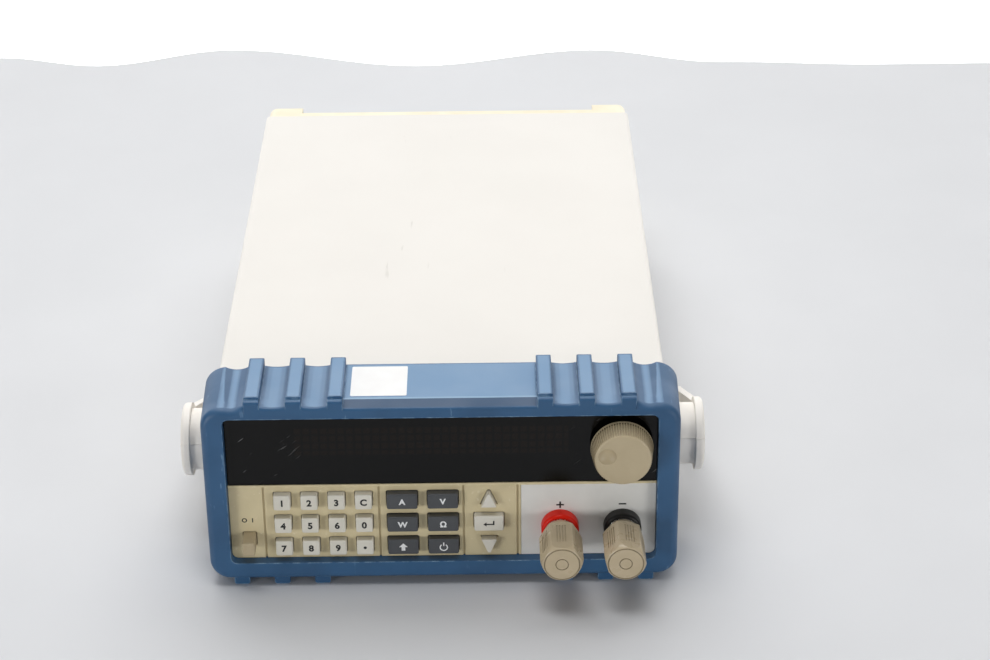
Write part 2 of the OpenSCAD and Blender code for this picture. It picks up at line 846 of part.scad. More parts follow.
// Six-sided cap with a round shoulder, turned front edge, grip grooves and a ring on its face
module post_cap(x, turn) {
    flat_r = cap_flats / 2;
    shoulder = 3;
    groove_pitch = 1.3;
    color("#a89982")
        translate([x, 0, post_mid]) rotate([0, turn, 0])
            difference() {
                intersection() {
                    run_y(cap_front - cut, cap_back + cut)
                        circle(r = flat_r / cos(30), $fn = 6);
                    turned_y(cap_back)
                        polygon([[0, 0], [flat_r - 1.6, 0], [flat_r - 1.2, shoulder],
                            [cap_d / 2, shoulder + 1.8], [cap_d / 2, cap_l - 3.6],
                            [flat_r + 0.9, cap_l - 2.2], [flat_r + 0.4, cap_l - 0.9],
                            [flat_r - 0.1, cap_l - 0.25], [flat_r - 0.5, cap_l], [0, cap_l]]);
                }
                rod_y(stud_r + 0.25, cap_front + 4.5, cap_back + cut);
                turned_y(cap_front + 0.4)
                    translate([8, 0]) square([0.5, cut]);
                turned_y(cap_front + 0.4)
                    translate([2.7, 0]) square([0.4, cut]);
                for (flat = [0:5], i = [-1.5:1:1.5])
                    rotate([0, flat * 60, 0])
                        translate([i * groove_pitch - 0.25, cap_front + 6, flat_r - 0.3])
                            cube([0.5, cap_l - 13, cut]);
            }
}

module case_cover() {
    vent_y0 = cover_y0 + 95;
    row_gap = 3;
    color("#f2efea")
        difference() {
            run_y(cover_y0, cover_y1)
                translate([0, case_mid])
                    difference() {
                        rounded(case_w, case_h, case_r);
                        rounded(inner_w, inner_h, case_r - case_wall / 2);
                    }
            for (i = [0:vent_count - 1], row = [-1, 1])
                translate([0, vent_y0 + i * vent_pitch, case_mid + row * (vent_h / 2 + row_gap)])
                    cube([2 * case_w, vent_w, vent_h], center = true);
            translate([0, hub_y, hub_z]) rod_x(pin_r + fit, -case_w, case_w);
        }
}

module rear_feet() {
    color("#3a3a3c")
        for (side = [-1, 1])
            translate([side * (case_w / 2 - 22), cover_y1 - 24, 0])
                rotate_extrude()
                    polygon([[0, 0], [foot_r - 1, 0], [foot_r, case_lift], [0, case_lift]]);
}

// One arm of the handle, drawn in Y and Z about the pivot and tapered towards the bar
module arm_outline() {
    start = disc_r - disc_edge - 0.3;
    end = bar_t / 2 - 0.4;
    rotate(-arm_angle)
        polygon([[0, start], [arm_l, end], [arm_l, -end], [0, -start]]);
}

module carry_handle() {
    bar_y = arm_l * cos(arm_angle);
    color("#d8d3cd")
        translate([0, hub_y, hub_z])
            difference() {
                union() {
                    for (side = [0, 1]) mirror([side, 0, 0]) {
                        rod_x(hub_r, case_w / 2 + fit, arm_x0 + cut);
                        translate([arm_x1, 0, 0])
                            rotate([0, -90, 0])
                                rotate_extrude() edge_section(disc_r, arm_t, disc_edge);
                        translate([arm_x0, 0, 0])
                            rotate([90, 0, 90])
                                linear_extrude(arm_t) arm_outline();
                    }
                    translate([-arm_x1, bar_y - bar_w + bar_t / 2, bar_z - hub_z])
                        rotate([90, 0, 90])
                            linear_extrude(2 * arm_x1) {
                                translate([bar_t / 2, -bar_t / 2]) square([bar_w - bar_t, bar_t]);
                                translate([bar_t / 2, 0]) circle(bar_t / 2);
                                translate([bar_w - bar_t / 2, 0]) circle(bar_t / 2);
                            }
                }
                rod_x(pin_r + run_fit, -arm_x1 - cut, arm_x1 + cut);
                for (side = [0, 1]) mirror([side, 0, 0])
                    rod_x(head_r + fit, arm_x0, arm_x1 + cut);
            }
}

// Pivot pins with a head outside the hub and a clamp plate inside the cover
module handle_pivots() {
    color("#9a9a9a")
        translate([0, hub_y, hub_z])
            for (side = [0, 1]) mirror([side, 0, 0]) {
                rod_x(pin_r, inner_w / 2 - 1, arm_x0 + 1);
                rod_x(head_r, arm_x0 + 0.1, arm_x1 - 0.8);
                rod_x(pin_r + 6, inner_w / 2 - 3, inner_w / 2);
            }
}

module at_bezel_screws() {
    for (x = [-1, 1], z = [-1, 1])
        translate([x * bezel_screw_x, 0, case_mid + z * bezel_screw_z]) children();
}

// Outline of the rear panel, clear of the screw bosses in the bezel's corners
module rear_outline(grow) {
    difference() {
        square([rear_w + grow, rear_h + grow], center = true);
        for (x = [-1, 1], z = [-1, 1])
            translate([x * rear_w / 2, z * rear_h / 2])
                square(2 * rear_notch - grow, center = true);
    }
}

module rear_bezel() {
    block_x = (bezel_w - block_w) / 2;
    block_z = (bezel_h - block_h) / 2;
    color("#fcf6e8")
        difference() {
            union() {
                run_y(cover_y1, bezel_y1)
                    translate([0, case_mid]) rounded(bezel_w, bezel_h, bezel_r);
                run_y(cover_y1 - skirt_l, cover_y1 + cut)
                    translate([0, case_mid]) rounded(skirt_w, skirt_h, case_r);
                run_y(bezel_y1 - cut, rear_y)
                    intersection() {
                        translate([0, case_mid]) rounded(bezel_w, bezel_h, bezel_r);
                        for (x = [-1, 1], z = [-1, 1])
                            translate([x * block_x, case_mid + z * block_z])
                                square([block_w, block_h], center = true);
                    }
            }
            run_y(cover_y1 - skirt_l - cut, rear_y1)
                translate([0, case_mid]) rear_outline(fit);
            run_y(cover_y1, rear_y + cut)
                translate([0, case_mid]) rounded(rear_open_w, rear_open_h, 3);
            at_bezel_screws() {
                rod_y(screw_hole_r, cover_y1 - skirt_l, rear_y + cut);
                rod_y(screw_head_r + fit, screw_seat_y, rear_y + cut);
            }
        }
}

// Rings of slots punched over the fan
module finger_guard() {
    slot = 3;
    difference() {
        for (r = [10:6:fan_w / 2 - 4])
            difference() {
                circle(r + slot / 2);
                circle(r - slot / 2);
            }
        for (turn = [45, 135])
            rotate(turn) square([fan_w, 4], center = true);
    }
}

module rear_panel() {
    color("#d9d8d4")
        run_y(rear_y0, rear_y1)
            difference() {
                translate([0, case_mid]) rear_outline(0);
                translate([fan_x, case_mid]) finger_guard();
                for (x = [-1, 1], z = [-1, 1])
                    translate([fan_x + x * fan_hole / 2, case_mid + z * fan_hole / 2])
                        circle(screw_hole_r);
                translate([inlet_x, inlet_z]) square(inlet_hole, center = true);
                for (x = [-1, 1])
                    translate([inlet_x + x * inlet_pitch / 2, inlet_z]) circle(screw_hole_r);
                translate([selector_x, selector_z]) square(selector_hole, center = true);
                translate([serial_x, serial_z]) square(serial_hole, center = true);
                translate([sense_x, sense_z]) square(sense_hole, center = true);
            }
}

module fan_frame() {
    bore_r = fan_w / 2 - 1.5;
    hub_ring = 14;
    color("#2a2a2a")
        translate([fan_x, 0, case_mid])
            difference() {
                union() {
                    run_y(fan_y0, rear_y0)
                        difference() {
                            rounded(fan_w, fan_w, 4);
                            circle(bore_r);
                        }
                    rod_y(hub_ring, rear_y0 - 4, rear_y0 - 0.5);
                    for (turn = [45, 135])
                        rotate([0, turn, 0])
                            translate([-bore_r - 1, rear_y0 - 4, -1.5]) cube([2 * bore_r + 2, 3.5, 3]);
                }
                for (x = [-1, 1], z = [-1, 1])
                    translate([x * fan_hole / 2, 0, z * fan_hole / 2])
                        rod_y(screw_hole_r, fan_y0 - cut, rear_y0 + cut);
                rod_y(1.5 + run_fit, fan_y0, rear_y0 - 1);
            }
}

module fan_rotor() {
    hub = 13;
    tip = fan_w / 2 - 2.3;
    rotor_y0 = fan_y0 + 1.5;
    rotor_y1 = rear_y0 - 5;
    color("#35363a")
        translate([fan_x, 0, case_mid]) {
            rod_y(hub, rotor_y0, rotor_y1);
            rod_y(1.5, rotor_y1 - cut, rear_y0 - 1.5);
            intersection() {
                rod_y(tip, rotor_y0 + 0.5, rotor_y1 - 0.5);
                for (i = [0:fan_blades - 1])
                    rotate([0, i * 360 / fan_blades, 0])
                        translate([hub - 1, (rotor_y0 + rotor_y1) / 2, 0])
                            rotate([40, 0, 0])
                                translate([0, -fan_d, -0.8]) cube([tip, 2 * fan_d, 1.6]);
            }
        }
}

module ac_inlet() {
    cavity = [24.4, 16.6];
    mouth_y = rear_y1 + 4.5;
    floor_y = mouth_y - 16.5;
    blade = [2, 4];
    color("#1f1f20")
        translate([inlet_x, 0, inlet_z]) {
            difference() {
                union() {
                    run_y(rear_y1, rear_y1 + 2.5) rounded(inlet_flange[0], inlet_flange[1], 4);
                    run_y(rear_y1, mouth_y) rounded(inlet_hole[0], inlet_hole[1], 2);
                    run_y(floor_y - 3, rear_y1 + cut)
                        rounded(inlet_hole[0] - fit, inlet_hole[1] - fit, 1);
                }
                run_y(floor_y, mouth_y + cut)
                    difference() {
                        square(cavity, center = true);
                        for (x = [-1, 1])
                            translate([x * cavity[0] / 2, cavity[1] / 2])
                                rotate(45) square(6, center = true);
                    }
                for (x = [-1, 1])
                    translate([x * inlet_pitch / 2, 0, 0])
                        rod_y(screw_hole_r, rear_y1 - cut, rear_y1 + 3);
            }
            for (place = [[-7, -2], [0, 2], [7, -2]])
                run_y(floor_y - 0.5, mouth_y - 4.6)
                    translate(place) square(blade, center = true);
        }
}

module line_selector() {
    slot_w = slider_w + selector_travel + 2 * fit;
    color("#232324")
        translate([selector_x, 0, selector_z])
            difference() {
                union() {
                    run_y(rear_y1, rear_y1 + 1.2) rounded(selector_hole[0] + 8, selector_hole[1] + 3, 1);
                    run_y(rear_y1 - 10, rear_y1 + 0.5)
                        square([selector_hole[0] - fit, selector_hole[1] - fit], center = true);
                }
                run_y(rear_y1 - 5, rear_y1 + 2)
                    square([slot_w, slider_h + 2 * fit], center = true);
            }
}

module selector_slider() {
    color("#c22")
        translate([selector_x - selector_travel / 2, 0, selector_z])
            run_y(rear_y1 - 5 + 0.1, rear_y1 + 0.6)
                difference() {
                    square([slider_w, slider_h], center = true);
                    for (x = [-1.5:1.5:1.5], z = [-1, 1])
                        translate([x, z * slider_h / 2]) square([0.5, 0.6], center = true);
                }
}

// Nine-way socket: flange, shell and two jack screws
module serial_connector() {
    shell_y = rear_y1 + 6;
    color("#b9bbbd")
        translate([serial_x, 0, serial_z]) {
            run_y(rear_y1, rear_y1 + 1) rounded(30.8, 12.5, 1);
            run_y(rear_y1 - 8, rear_y1 + 0.5)
                square([serial_hole[0] - fit, serial_hole[1] - fit], center = true);
            difference() {
                run_y(rear_y1 + 0.5, shell_y)
                    polygon([[-8.4, 4.1], [8.4, 4.1], [7, -4.1], [-7, -4.1]]);
                for (i = [0:4])
                    translate([(i - 2) * 2.75, 0, 1.4]) rod_y(0.6, shell_y - 4, shell_y + cut);
                for (i = [0:3])
                    translate([(i - 1.5) * 2.75, 0, -1.4]) rod_y(0.6, shell_y - 4, shell_y + cut);
            }
            for (x = [-1, 1])
                translate([x * serial_pitch / 2, 0, 0])
                    run_y(rear_y1 + 0.5, shell_y - 1) circle(r = 2.7, $fn = 6);
        }
}

// Two-way clamp block with screws and wire holes
module sense_terminals() {
    color("#2f7d46")
        translate([sense_x, 0, sense_z])
            difference() {
                union() {
                    run_y(rear_y1, rear_y1 + 6)
                        square([sense_hole[0] + 4, sense_hole[1] + 2], center = true);
                    run_y(rear_y1 - 8, rear_y1 + cut)
                        square([sense_hole[0] - fit, sense_hole[1] - fit], center = true);
                }
                for (x = [-7.5:5:7.5]) {
                    translate([x, 0, 3]) rod_y(1.9, rear_y1 + 4.5, rear_y1 + 7);
                    translate([x - 1.6, rear_y1 + 1, -5]) cube([3.2, 6, 4.4]);
                }
            }
}

module pan_screw(head_y, shank) {
    rod_y(screw_r, head_y - shank, head_y + 0.2);
    turned_y(head_y + screw_head_t)
        difference() {
            square([screw_head_r, screw_head_t]);
            square([0.6, 1]);
        }
}

module case_screws() {
    color("#b5b6b8") {
        at_bezel_screws() pan_screw(screw_seat_y, 14);
        for (x = [-1, 1], z = [-1, 1])
            translate([fan_x + x * fan_hole / 2, 0, case_mid + z * fan_hole / 2])
                pan_screw(rear_y1, 12);
        for (x = [-1, 1])
            translate([inlet_x + x * inlet_pitch / 2, 0, inlet_z]) pan_screw(rear_y1 + 2.5, 8);
    }
}

// Base plate with low side walls, board standoffs and the tab that carries the power switch
module chassis_tray() {
    wall_h = 14;
    color("#b8babc") {
        difference() {
            translate([-tray_w / 2, tray_y0, tray_z0])
                cube([tray_w, tray_y1 - tray_y0, tray_t + wall_h]);
            translate([-tray_w / 2 + tray_t, tray_y0 - cut, tray_z1])
                cube([tray_w - 2 * tray_t, tray_y1 - tray_y0 + 2 * cut, wall_h + cut]);
        }
        for (x = [main_x0 + 6, main_x1 - 6], y = [main_y0 + 6, main_y1 - 6])
            translate([x, y, tray_z0]) cylinder(r = 3, h = main_z - tray_z0);
        translate([power_x - switch_w / 2 + 1, switch_y0, tray_z0])
            cube([switch_w - 2, switch_l, power_z - switch_w / 2 - tray_z0]);
    }
}

// Finned extrusion in the air stream of the fan
module heat_sink() {
    fin_t = 1.5;
    fin_z0 = tray_z1 + 6;
    fin_pitch = (sink_top - fin_z0 - fin_t) / (sink_fins - 1);
    color("#9fa3a6")
        run_y(sink_y1 - sink_l, sink_y1) {
            translate([sink_x0, tray_z1]) square([sink_base, sink_top - tray_z1]);
            for (i = [0:sink_fins - 1])
                translate([sink_x0 + sink_base - 0.5, fin_z0 + i * fin_pitch])
                    square([sink_w - sink_base, fin_t]);
        }
}

module power_transistors() {
    chip_y0 = sink_y1 - 7 * sink_l / 8 - chip_w / 2;
    color("#1e1e20")
        for (i = [0:3])
            translate([sink_x0 - chip_t, chip_y0 + i * sink_l / 4, case_mid - chip_h / 2])
                difference() {
                    cube([chip_t, chip_w, chip_h]);
                    translate([-cut, chip_w / 2, 0.8 * chip_h]) rod_x(0.11 * chip_w, 0, chip_t + 2 * cut);
                }
}

module main_board() {
    top = main_z + board_t;
    color("#2e6b3f") {
        translate([main_x0, main_y0, main_z])
            cube([main_x1 - main_x0, main_y1 - main_y0, board_t]);
        for (i = [0:2])
            translate([main_x0 + 1.8 * capacitor_r, main_y0 + (2.7 + 2.7 * i) * capacitor_r, top - 0.2])
                cylinder(r = capacitor_r, h = capacitor_h);
        for (i = [0:3])
            translate([main_x0 + 5 * capacitor_r, main_y0 + (2.2 + 1.8 * i) * capacitor_r, top - 0.2])
                cylinder(r = 0.55 * capacitor_r, h = 0.55 * capacitor_h);
        translate([main_x0 + 3.3 * capacitor_r, main_y0 + 10.7 * capacitor_r, top - 0.2])
            cube([3.1 * capacitor_r, 1.8 * capacitor_r, capacitor_h / 2]);
        translate([main_x0 + 1.1 * capacitor_r, main_y0 + 13.8 * capacitor_r, top - 0.2])
            cube([2.4 * capacitor_r, 0.9 * capacitor_r, capacitor_h / 3]);
    }
}

// Laminated core with its coil and mounting foot
module mains_transformer() {
    core = [core_w, core_d, core_h];
    coil = [0.76 * core_w, 1.73 * core_d, 0.68 * core_h];
    foot = [1.34 * core_w, 0.53 * core_d, 0.04 * core_h];
    color("#8a5a3a")
        translate([-tray_w / 4, cover_y0 + 82, tray_z1]) {
            translate([-foot[0] / 2, -foot[1] / 2, 0]) cube(foot);
            translate([-core[0] / 2, -core[1] / 2, foot[2] - 0.2]) cube(core);
            translate([-coil[0] / 2, -coil[1] / 2, foot[2] + (core[2] - coil[2]) / 2]) cube(coil);
        }
}

module display_board() {
    color("#2e6b3f")
        run_y(board_y, board_y + board_t) {
            translate([number_x0 + 2, open_z0 + 1.2])
                square([arrow_x1 - number_x0 - 4, ledge_z0 - open_z0]);
            translate([number_x0 + 2, ledge_z0 - 2])
                square([open_w / 2 - number_x0 - 4, open_z1 - ledge_z0]);
        }
}

module display_module() {
    color("#3a2a1c")
        run_y(panel_back + 0.2, board_y)
            translate([0, (window_z0 + open_z1) / 2]) square([screen_w, screen_h], center = true);
}

// Silicone sheet with one dome under each key
module keypad_mat() {
    sheet_y = dome_y + dome_h;
    color("#55565a") {
        run_y(sheet_y, board_y)
            translate([number_x0 + 3, open_z0 + 1.5])
                square([arrow_x1 - number_x0 - 6, ledge_z0 - open_z0 - 2.5]);
        at_number_keys() rod_y(2.4, dome_y, sheet_y + 0.2);
        at_function_keys() rod_y(2.4, dome_y, sheet_y + 0.2);
        for (row = [0:2])
            translate([arrow_x, 0, row_z(row)]) rod_y(2.4, dome_y, sheet_y + 0.2);
    }
}

// Moves the instrument so that the origin lies under its middle
module centred() {
    translate([0, -mid_y, 0]) children();
}

centred() front_bumper();
centred() front_panel();
centred() display_window();
centred() input_plate();
centred() power_button();
for (key = number_keys)
    centred() number_key(key[1], key[2]);
for (key = function_keys)
    centred() function_key(key[1], key[2]);
centred() key_enter();
centred() arrow_key(true, 2);  // key_up
centred() arrow_key(false, 0);  // key_down
centred() tuning_knob();
centred() encoder_shaft();
centred() rotary_encoder();
centred() red_post_collar();
centred() black_post_collar();
centred() post_stud(red_x);  // red_post_stud
centred() post_stud(black_x);  // black_post_stud
centred() post_washer(red_x);  // red_post_washer
centred() post_washer(black_x);  // black_post_washer
centred() post_cap(red_x, 0);  // red_post_cap
centred() post_cap(black_x, cap_turn);  // black_post_cap
centred() case_cover();
centred() carry_handle();
centred() handle_pivots();
centred() rear_feet();
centred() rear_bezel();
centred() rear_panel();
centred() fan_frame();
centred() fan_rotor();
centred() ac_inlet();
centred() line_selector();
centred() selector_slider();
centred() serial_connector();
centred() sense_terminals();
centred() case_screws();
centred() chassis_tray();
centred() heat_sink();
centred() power_transistors();
centred() main_board();
centred() mains_transformer();
centred() display_board();
centred() display_module();
centred() keypad_mat();
centred() power_switch();
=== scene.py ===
import json
import math

import bmesh
import bpy
from mathutils import Matrix, Vector


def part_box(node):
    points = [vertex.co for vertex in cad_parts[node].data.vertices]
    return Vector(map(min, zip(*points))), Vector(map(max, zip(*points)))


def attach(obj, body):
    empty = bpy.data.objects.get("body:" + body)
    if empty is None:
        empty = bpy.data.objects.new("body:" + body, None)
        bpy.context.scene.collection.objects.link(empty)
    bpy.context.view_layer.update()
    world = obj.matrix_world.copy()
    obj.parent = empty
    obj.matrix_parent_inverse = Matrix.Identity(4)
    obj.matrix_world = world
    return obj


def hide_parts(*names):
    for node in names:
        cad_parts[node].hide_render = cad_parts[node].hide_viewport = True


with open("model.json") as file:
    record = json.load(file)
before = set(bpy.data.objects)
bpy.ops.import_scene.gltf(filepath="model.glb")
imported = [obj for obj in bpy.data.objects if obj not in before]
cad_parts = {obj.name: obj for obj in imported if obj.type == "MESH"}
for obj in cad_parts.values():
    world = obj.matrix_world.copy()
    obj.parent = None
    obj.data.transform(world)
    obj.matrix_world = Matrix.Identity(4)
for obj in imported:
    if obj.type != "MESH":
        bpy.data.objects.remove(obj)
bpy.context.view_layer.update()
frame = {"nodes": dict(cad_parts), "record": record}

print("frame loaded:", len(frame["nodes"]), "nodes")

mm = 0.001
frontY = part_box("front_bumper")[0].y  # depths below are measured from the bumper's front face


def at(x, y, z):  # millimetres to the right, behind the bumper's face and above the table
    return Vector((x * mm, frontY + y * mm, z * mm))


def linear(hexText):
    parts = [int(hexText[i:i + 2], 16) / 255 for i in (1, 3, 5)]
    return [c / 12.92 if c <= 0.04045 else ((c + 0.055) / 1.055) ** 2.4 for c in parts] + [1.0]


def addNode(tree, kind, settings=None, links=None):
    made = tree.nodes.new(kind)
    for key, value in (settings or {}).items():
        if isinstance(key, str) and hasattr(made, key):
            setattr(made, key, value)
        else:
            made.inputs[key].default_value = value
    for key, source in (links or {}).items():
        tree.links.new(source, made.inputs[key])
    return made


def perMetre(size):  # texture scale for a pattern of that many millimetres
    return 1 / (size * mm)


# Materials: what a maker would call each one, and what its surface does to the light

def startMaterial(name):
    material = bpy.data.materials.new(name)
    material.use_nodes = True
    tree = material.node_tree
    place = addNode(tree, "ShaderNodeTexCoord").outputs["Object"]
    return material, tree, tree.nodes["Principled BSDF"], place


def noiseMask(tree, place, size, low, high, detail=3.0, stretch=(1, 1, 1)):
    moved = addNode(tree, "ShaderNodeMapping", {"Scale": stretch}, {"Vector": place})
    noise = addNode(tree, "ShaderNodeTexNoise", {"Scale": perMetre(size), "Detail": detail},
                    {"Vector": moved.outputs[0]})
    spread = addNode(tree, "ShaderNodeMapRange", {"From Min": low, "From Max": high},
                     {"Value": noise.outputs["Fac"]})
    return spread.outputs[0]


def paintLayers(tree, shader, base, layers):  # each colour covers those before it where its mask is 1
    colour = None
    for mask, over in layers:
        mixed = addNode(tree, "ShaderNodeMix",
                        {"data_type": "RGBA", 6: linear(base), 7: linear(over)}, {0: mask})
        if colour is not None:
            tree.links.new(colour, mixed.inputs[6])
        colour = mixed.outputs[2]
    tree.links.new(colour, shader.inputs["Base Color"])


def setRough(tree, shader, mask, low, high):
    rough = addNode(tree, "ShaderNodeMapRange", {"To Min": low, "To Max": high}, {"Value": mask})
    tree.links.new(rough.outputs[0], shader.inputs["Roughness"])


def edgeMask(tree, radius, low, high):  # 1 on corners sharper than that radius, 0 on flats
    soft = addNode(tree, "ShaderNodeBevel", {"samples": 6, "Radius": radius * mm})
    true = addNode(tree, "ShaderNodeNewGeometry")
    turn = addNode(tree, "ShaderNodeVectorMath", {"operation": "DOT_PRODUCT"},
                   {0: soft.outputs[0], 1: true.outputs["Normal"]})
    spread = addNode(tree, "ShaderNodeMapRange", {"From Min": low, "From Max": high},
                     {"Value": turn.outputs["Value"]})
    return spread.outputs[0]


def setBump(tree, shader, height, depth, edge):
    bump = addNode(tree, "ShaderNodeBump", {"Strength": 1.0, "Distance": depth * mm},
                   {"Height": height})
    if edge:  # the small radius that a mould or a press leaves on every corner
        soft = addNode(tree, "ShaderNodeBevel", {"samples": 6, "Radius": edge * mm})
        tree.links.new(soft.outputs[0], bump.inputs["Normal"])
    tree.links.new(bump.outputs[0], shader.inputs["Normal"])


plasticLook = {"mottle": 14, "grain": 0.7, "dustSize": 2.2, "depth": 0.012, "edge": 0.35, "ior": 1.5}


def mouldedPlastic(name, ownLook):
    # spark-eroded mould: an even fine grain, a little mottling, softly rounded corners
    look = {**plasticLook, **ownLook}
    material, tree, shader, place = startMaterial(name)
    tone = noiseMask(tree, place, look["mottle"], 0.35, 0.65)
    layers = [(tone, look["shade"])]
    if "dust" in look:
        layers.append((noiseMask(tree, place, look["dustSize"], 0.62, 0.74, 5.0), look["dust"]))
    if "grimeAndShade" in look:  # painted shade in narrow grooves, also standing for hand dirt that settles there
        clear = addNode(tree, "ShaderNodeAmbientOcclusion", {"samples": 8, "Distance": look["deep"] * mm})
        grimeAndShadeMask = addNode(tree, "ShaderNodeMapRange", {"From Min": 0.75, "From Max": 0.3},
                       {"Value": clear.outputs["AO"]})
        layers.append((grimeAndShadeMask.outputs[0], look["grimeAndShade"]))
    paintLayers(tree, shader, look["colour"], layers)
    setRough(tree, shader, tone, look["rough"] - 0.05, look["rough"] + 0.08)
    shader.inputs["IOR"].default_value = look["ior"]
    setBump(tree, shader, noiseMask(tree, place, look["grain"], 0.2, 0.8, 2.0), look["depth"], look["edge"])
    return material


metalLook = {"streak": 0.8, "stretch": (1, 0.05, 1), "depth": 0.006, "edge": 0.2}


def platedMetal(name, ownLook):
    # turned or rolled metal under a thin plating: fine streaks along the work, duller in places
    look = {**metalLook, **ownLook}
    material, tree, shader, place = startMaterial(name)
    streaks = noiseMask(tree, place, look["streak"], 0.3, 0.7, 4.0, look["stretch"])
    paintLayers(tree, shader, look["colour"], [(streaks, look["shade"])])
    shader.inputs["Metallic"].default_value = 1.0
    setRough(tree, shader, streaks, look["rough"] - 0.06, look["rough"] + 0.12)
    setBump(tree, shader, streaks, look["depth"], look["edge"])
    return material


powderLook = {
    "colour": "#e6e2db", "shade": "#e4e0d9", "scuff": "#d0ccc3", "rough": 0.42,
    "mottle": 60, "scratch": 5, "patch": 45, "pebble": 1.4, "depth": 0.02, "edge": 0.5,
}


def powderCoatedSteel(name, ownLook):
    # baked powder on sheet steel: even and slightly pebbled, with a few faint rubs and scratches
    look = {**powderLook, **ownLook}
    material, tree, shader, place = startMaterial(name)
    tone = noiseMask(tree, place, look["mottle"], 0.35, 0.65)
    scratch = noiseMask(tree, place, look["scratch"], 0.715, 0.76, 2.0, (1, 0.12, 1))
    patch = noiseMask(tree, place, look["patch"], 0.52, 0.66)
    marks = addNode(tree, "ShaderNodeMath", {"operation": "MULTIPLY"}, {0: scratch, 1: patch})
    paintLayers(tree, shader, look["colour"], [(tone, look["shade"]), (marks.outputs[0], look["scuff"])])
    setRough(tree, shader, tone, look["rough"], look["rough"] + 0.03)
    setBump(tree, shader, noiseMask(tree, place, look["pebble"], 0.2, 0.8, 2.0), look["depth"], look["edge"])
    return material


rubberLook = {
    # the chalk colour paints the flat top paler, partly as a chalky bloom and partly as painted sheen; the
    # rub colour paints the edges pale, partly as wear and partly as painted highlight
    "colour": "#2d587f", "shade": "#295176", "chalkAndSheen": "#6d90b2", "scuff": "#6f93b3", "rubAndHighlight": "#88a9c4",
    "rough": 0.46, "mottle": 22, "streak": 3.2, "patch": 30, "chip": 4, "grain": 0.9, "depth": 0.015,
    "edge": 0.6, "wornAndLitEdge": 1.0, "soften": 1.6, "chalkAndSheenFrom": 84, "chalkAndSheenTo": 88, "lineHalf": 45.4,
    # lines: a strip of painted shade along the front edge, then a pale line of wear and painted highlight on
    # the arris
    "lines": [(3.5, 3.5, "#1e4568"), (7.6, 0.6, "#88a9c4")],  # middle, half width, colour
}


def mouldedRubber(name, look):
    # moulded rubber: satin, chalky and painted with sheen on its flat top, rubbed pale with painted
    # highlights where corners have been knocked, painted shade along the front edge
    material, tree, shader, place = startMaterial(name)
    axes = addNode(tree, "ShaderNodeSeparateXYZ", None, {0: place})
    tone = noiseMask(tree, place, look["mottle"], 0.35, 0.65)

    # chalk with painted sheen lies on level places of the top and thins out as they tilt
    soft = addNode(tree, "ShaderNodeBevel", {"samples": 8, "Radius": look["soften"] * mm})
    level = addNode(tree, "ShaderNodeSeparateXYZ", None, {0: soft.outputs[0]}).outputs["Z"]
    tilted = addNode(tree, "ShaderNodeMapRange", {"From Min": 0.35, "From Max": 0.95, "To Max": 0.12},
                     {"Value": level})
    flat = addNode(tree, "ShaderNodeMapRange", {"From Min": 0.98, "From Max": 0.999, "To Max": 0.88},
                   {"Value": level})
    upward = addNode(tree, "ShaderNodeMath", {"operation": "ADD"}, {0: tilted.outputs[0], 1: flat.outputs[0]})
    roof = addNode(tree, "ShaderNodeMapRange",
                   {"From Min": look["chalkAndSheenFrom"] * mm, "From Max": look["chalkAndSheenTo"] * mm},
                   {"Value": axes.outputs["Z"]})
    chalkAndSheenMask = addNode(tree, "ShaderNodeMath", {"operation": "MULTIPLY"},
                    {0: upward.outputs[0], 1: roof.outputs[0]})

    streaks = noiseMask(tree, place, look["streak"], 0.66, 0.74, 3.0, (1, 0.25, 0.25))
    patch = noiseMask(tree, place, look["patch"], 0.45, 0.62)
    marks = addNode(tree, "ShaderNodeMath", {"operation": "MULTIPLY"}, {0: streaks, 1: patch})
    # edges rubbed pale by knocks, and given painted highlights
    wornAndLitEdge = edgeMask(tree, look["wornAndLitEdge"], 0.99, 0.90)
    broken = noiseMask(tree, place, look["chip"], 0.40, 0.70, 4.0)
    rubbedAndLitEdges = addNode(tree, "ShaderNodeMath", {"operation": "MULTIPLY"}, {0: wornAndLitEdge, 1: broken})
    layers = [(tone, look["shade"]), (chalkAndSheenMask.outputs[0], look["chalkAndSheen"]), (marks.outputs[0], look["scuff"]),
              (rubbedAndLitEdges.outputs[0], look["rubAndHighlight"])]

    # a strip of painted shade along the front of the top where it rounds over, and behind it a pale line of
    # wear with a painted highlight on the arris
    above = addNode(tree, "ShaderNodeMapRange", {"From Min": 0.8, "From Max": 0.97}, {"Value": level})
    for back, wide, tint in look["lines"]:
        paintedBand = addNode(tree, "ShaderNodeMath", {"operation": "MULTIPLY"},
                       {0: roof.outputs[0], 1: above.outputs[0]})
        for output, middle, half in (("X", 0, look["lineHalf"] * mm), ("Y", frontY + back * mm, wide * mm)):
            near = addNode(tree, "ShaderNodeMath", {"operation": "COMPARE", 1: middle, 2: half},
                           {0: axes.outputs[output]})
            paintedBand = addNode(tree, "ShaderNodeMath", {"operation": "MULTIPLY"},
                           {0: paintedBand.outputs[0], 1: near.outputs[0]})
        layers.append((paintedBand.outputs[0], tint))
    paintLayers(tree, shader, look["colour"], layers)
    setRough(tree, shader, tone, look["rough"] - 0.06, look["rough"] + 0.1)
    setBump(tree, shader, noiseMask(tree, place, look["grain"], 0.2, 0.8, 2.0), look["depth"], look["edge"])
    return material


acrylicLook = {
    "colour": "#060606", "cell": "#140e0a", "dust": "#6a6a6a", "rough": 0.1, "ior": 1.49, "shine": 0.24,
    "hair": 2.4, "hairTurn": 0.7, "hairFrom": 60, "hairTo": 100, "smear": 9,
    "cellPitch": 4.1, "cellArea": [("X", -70, 60), ("Z", 71, 86)],
}


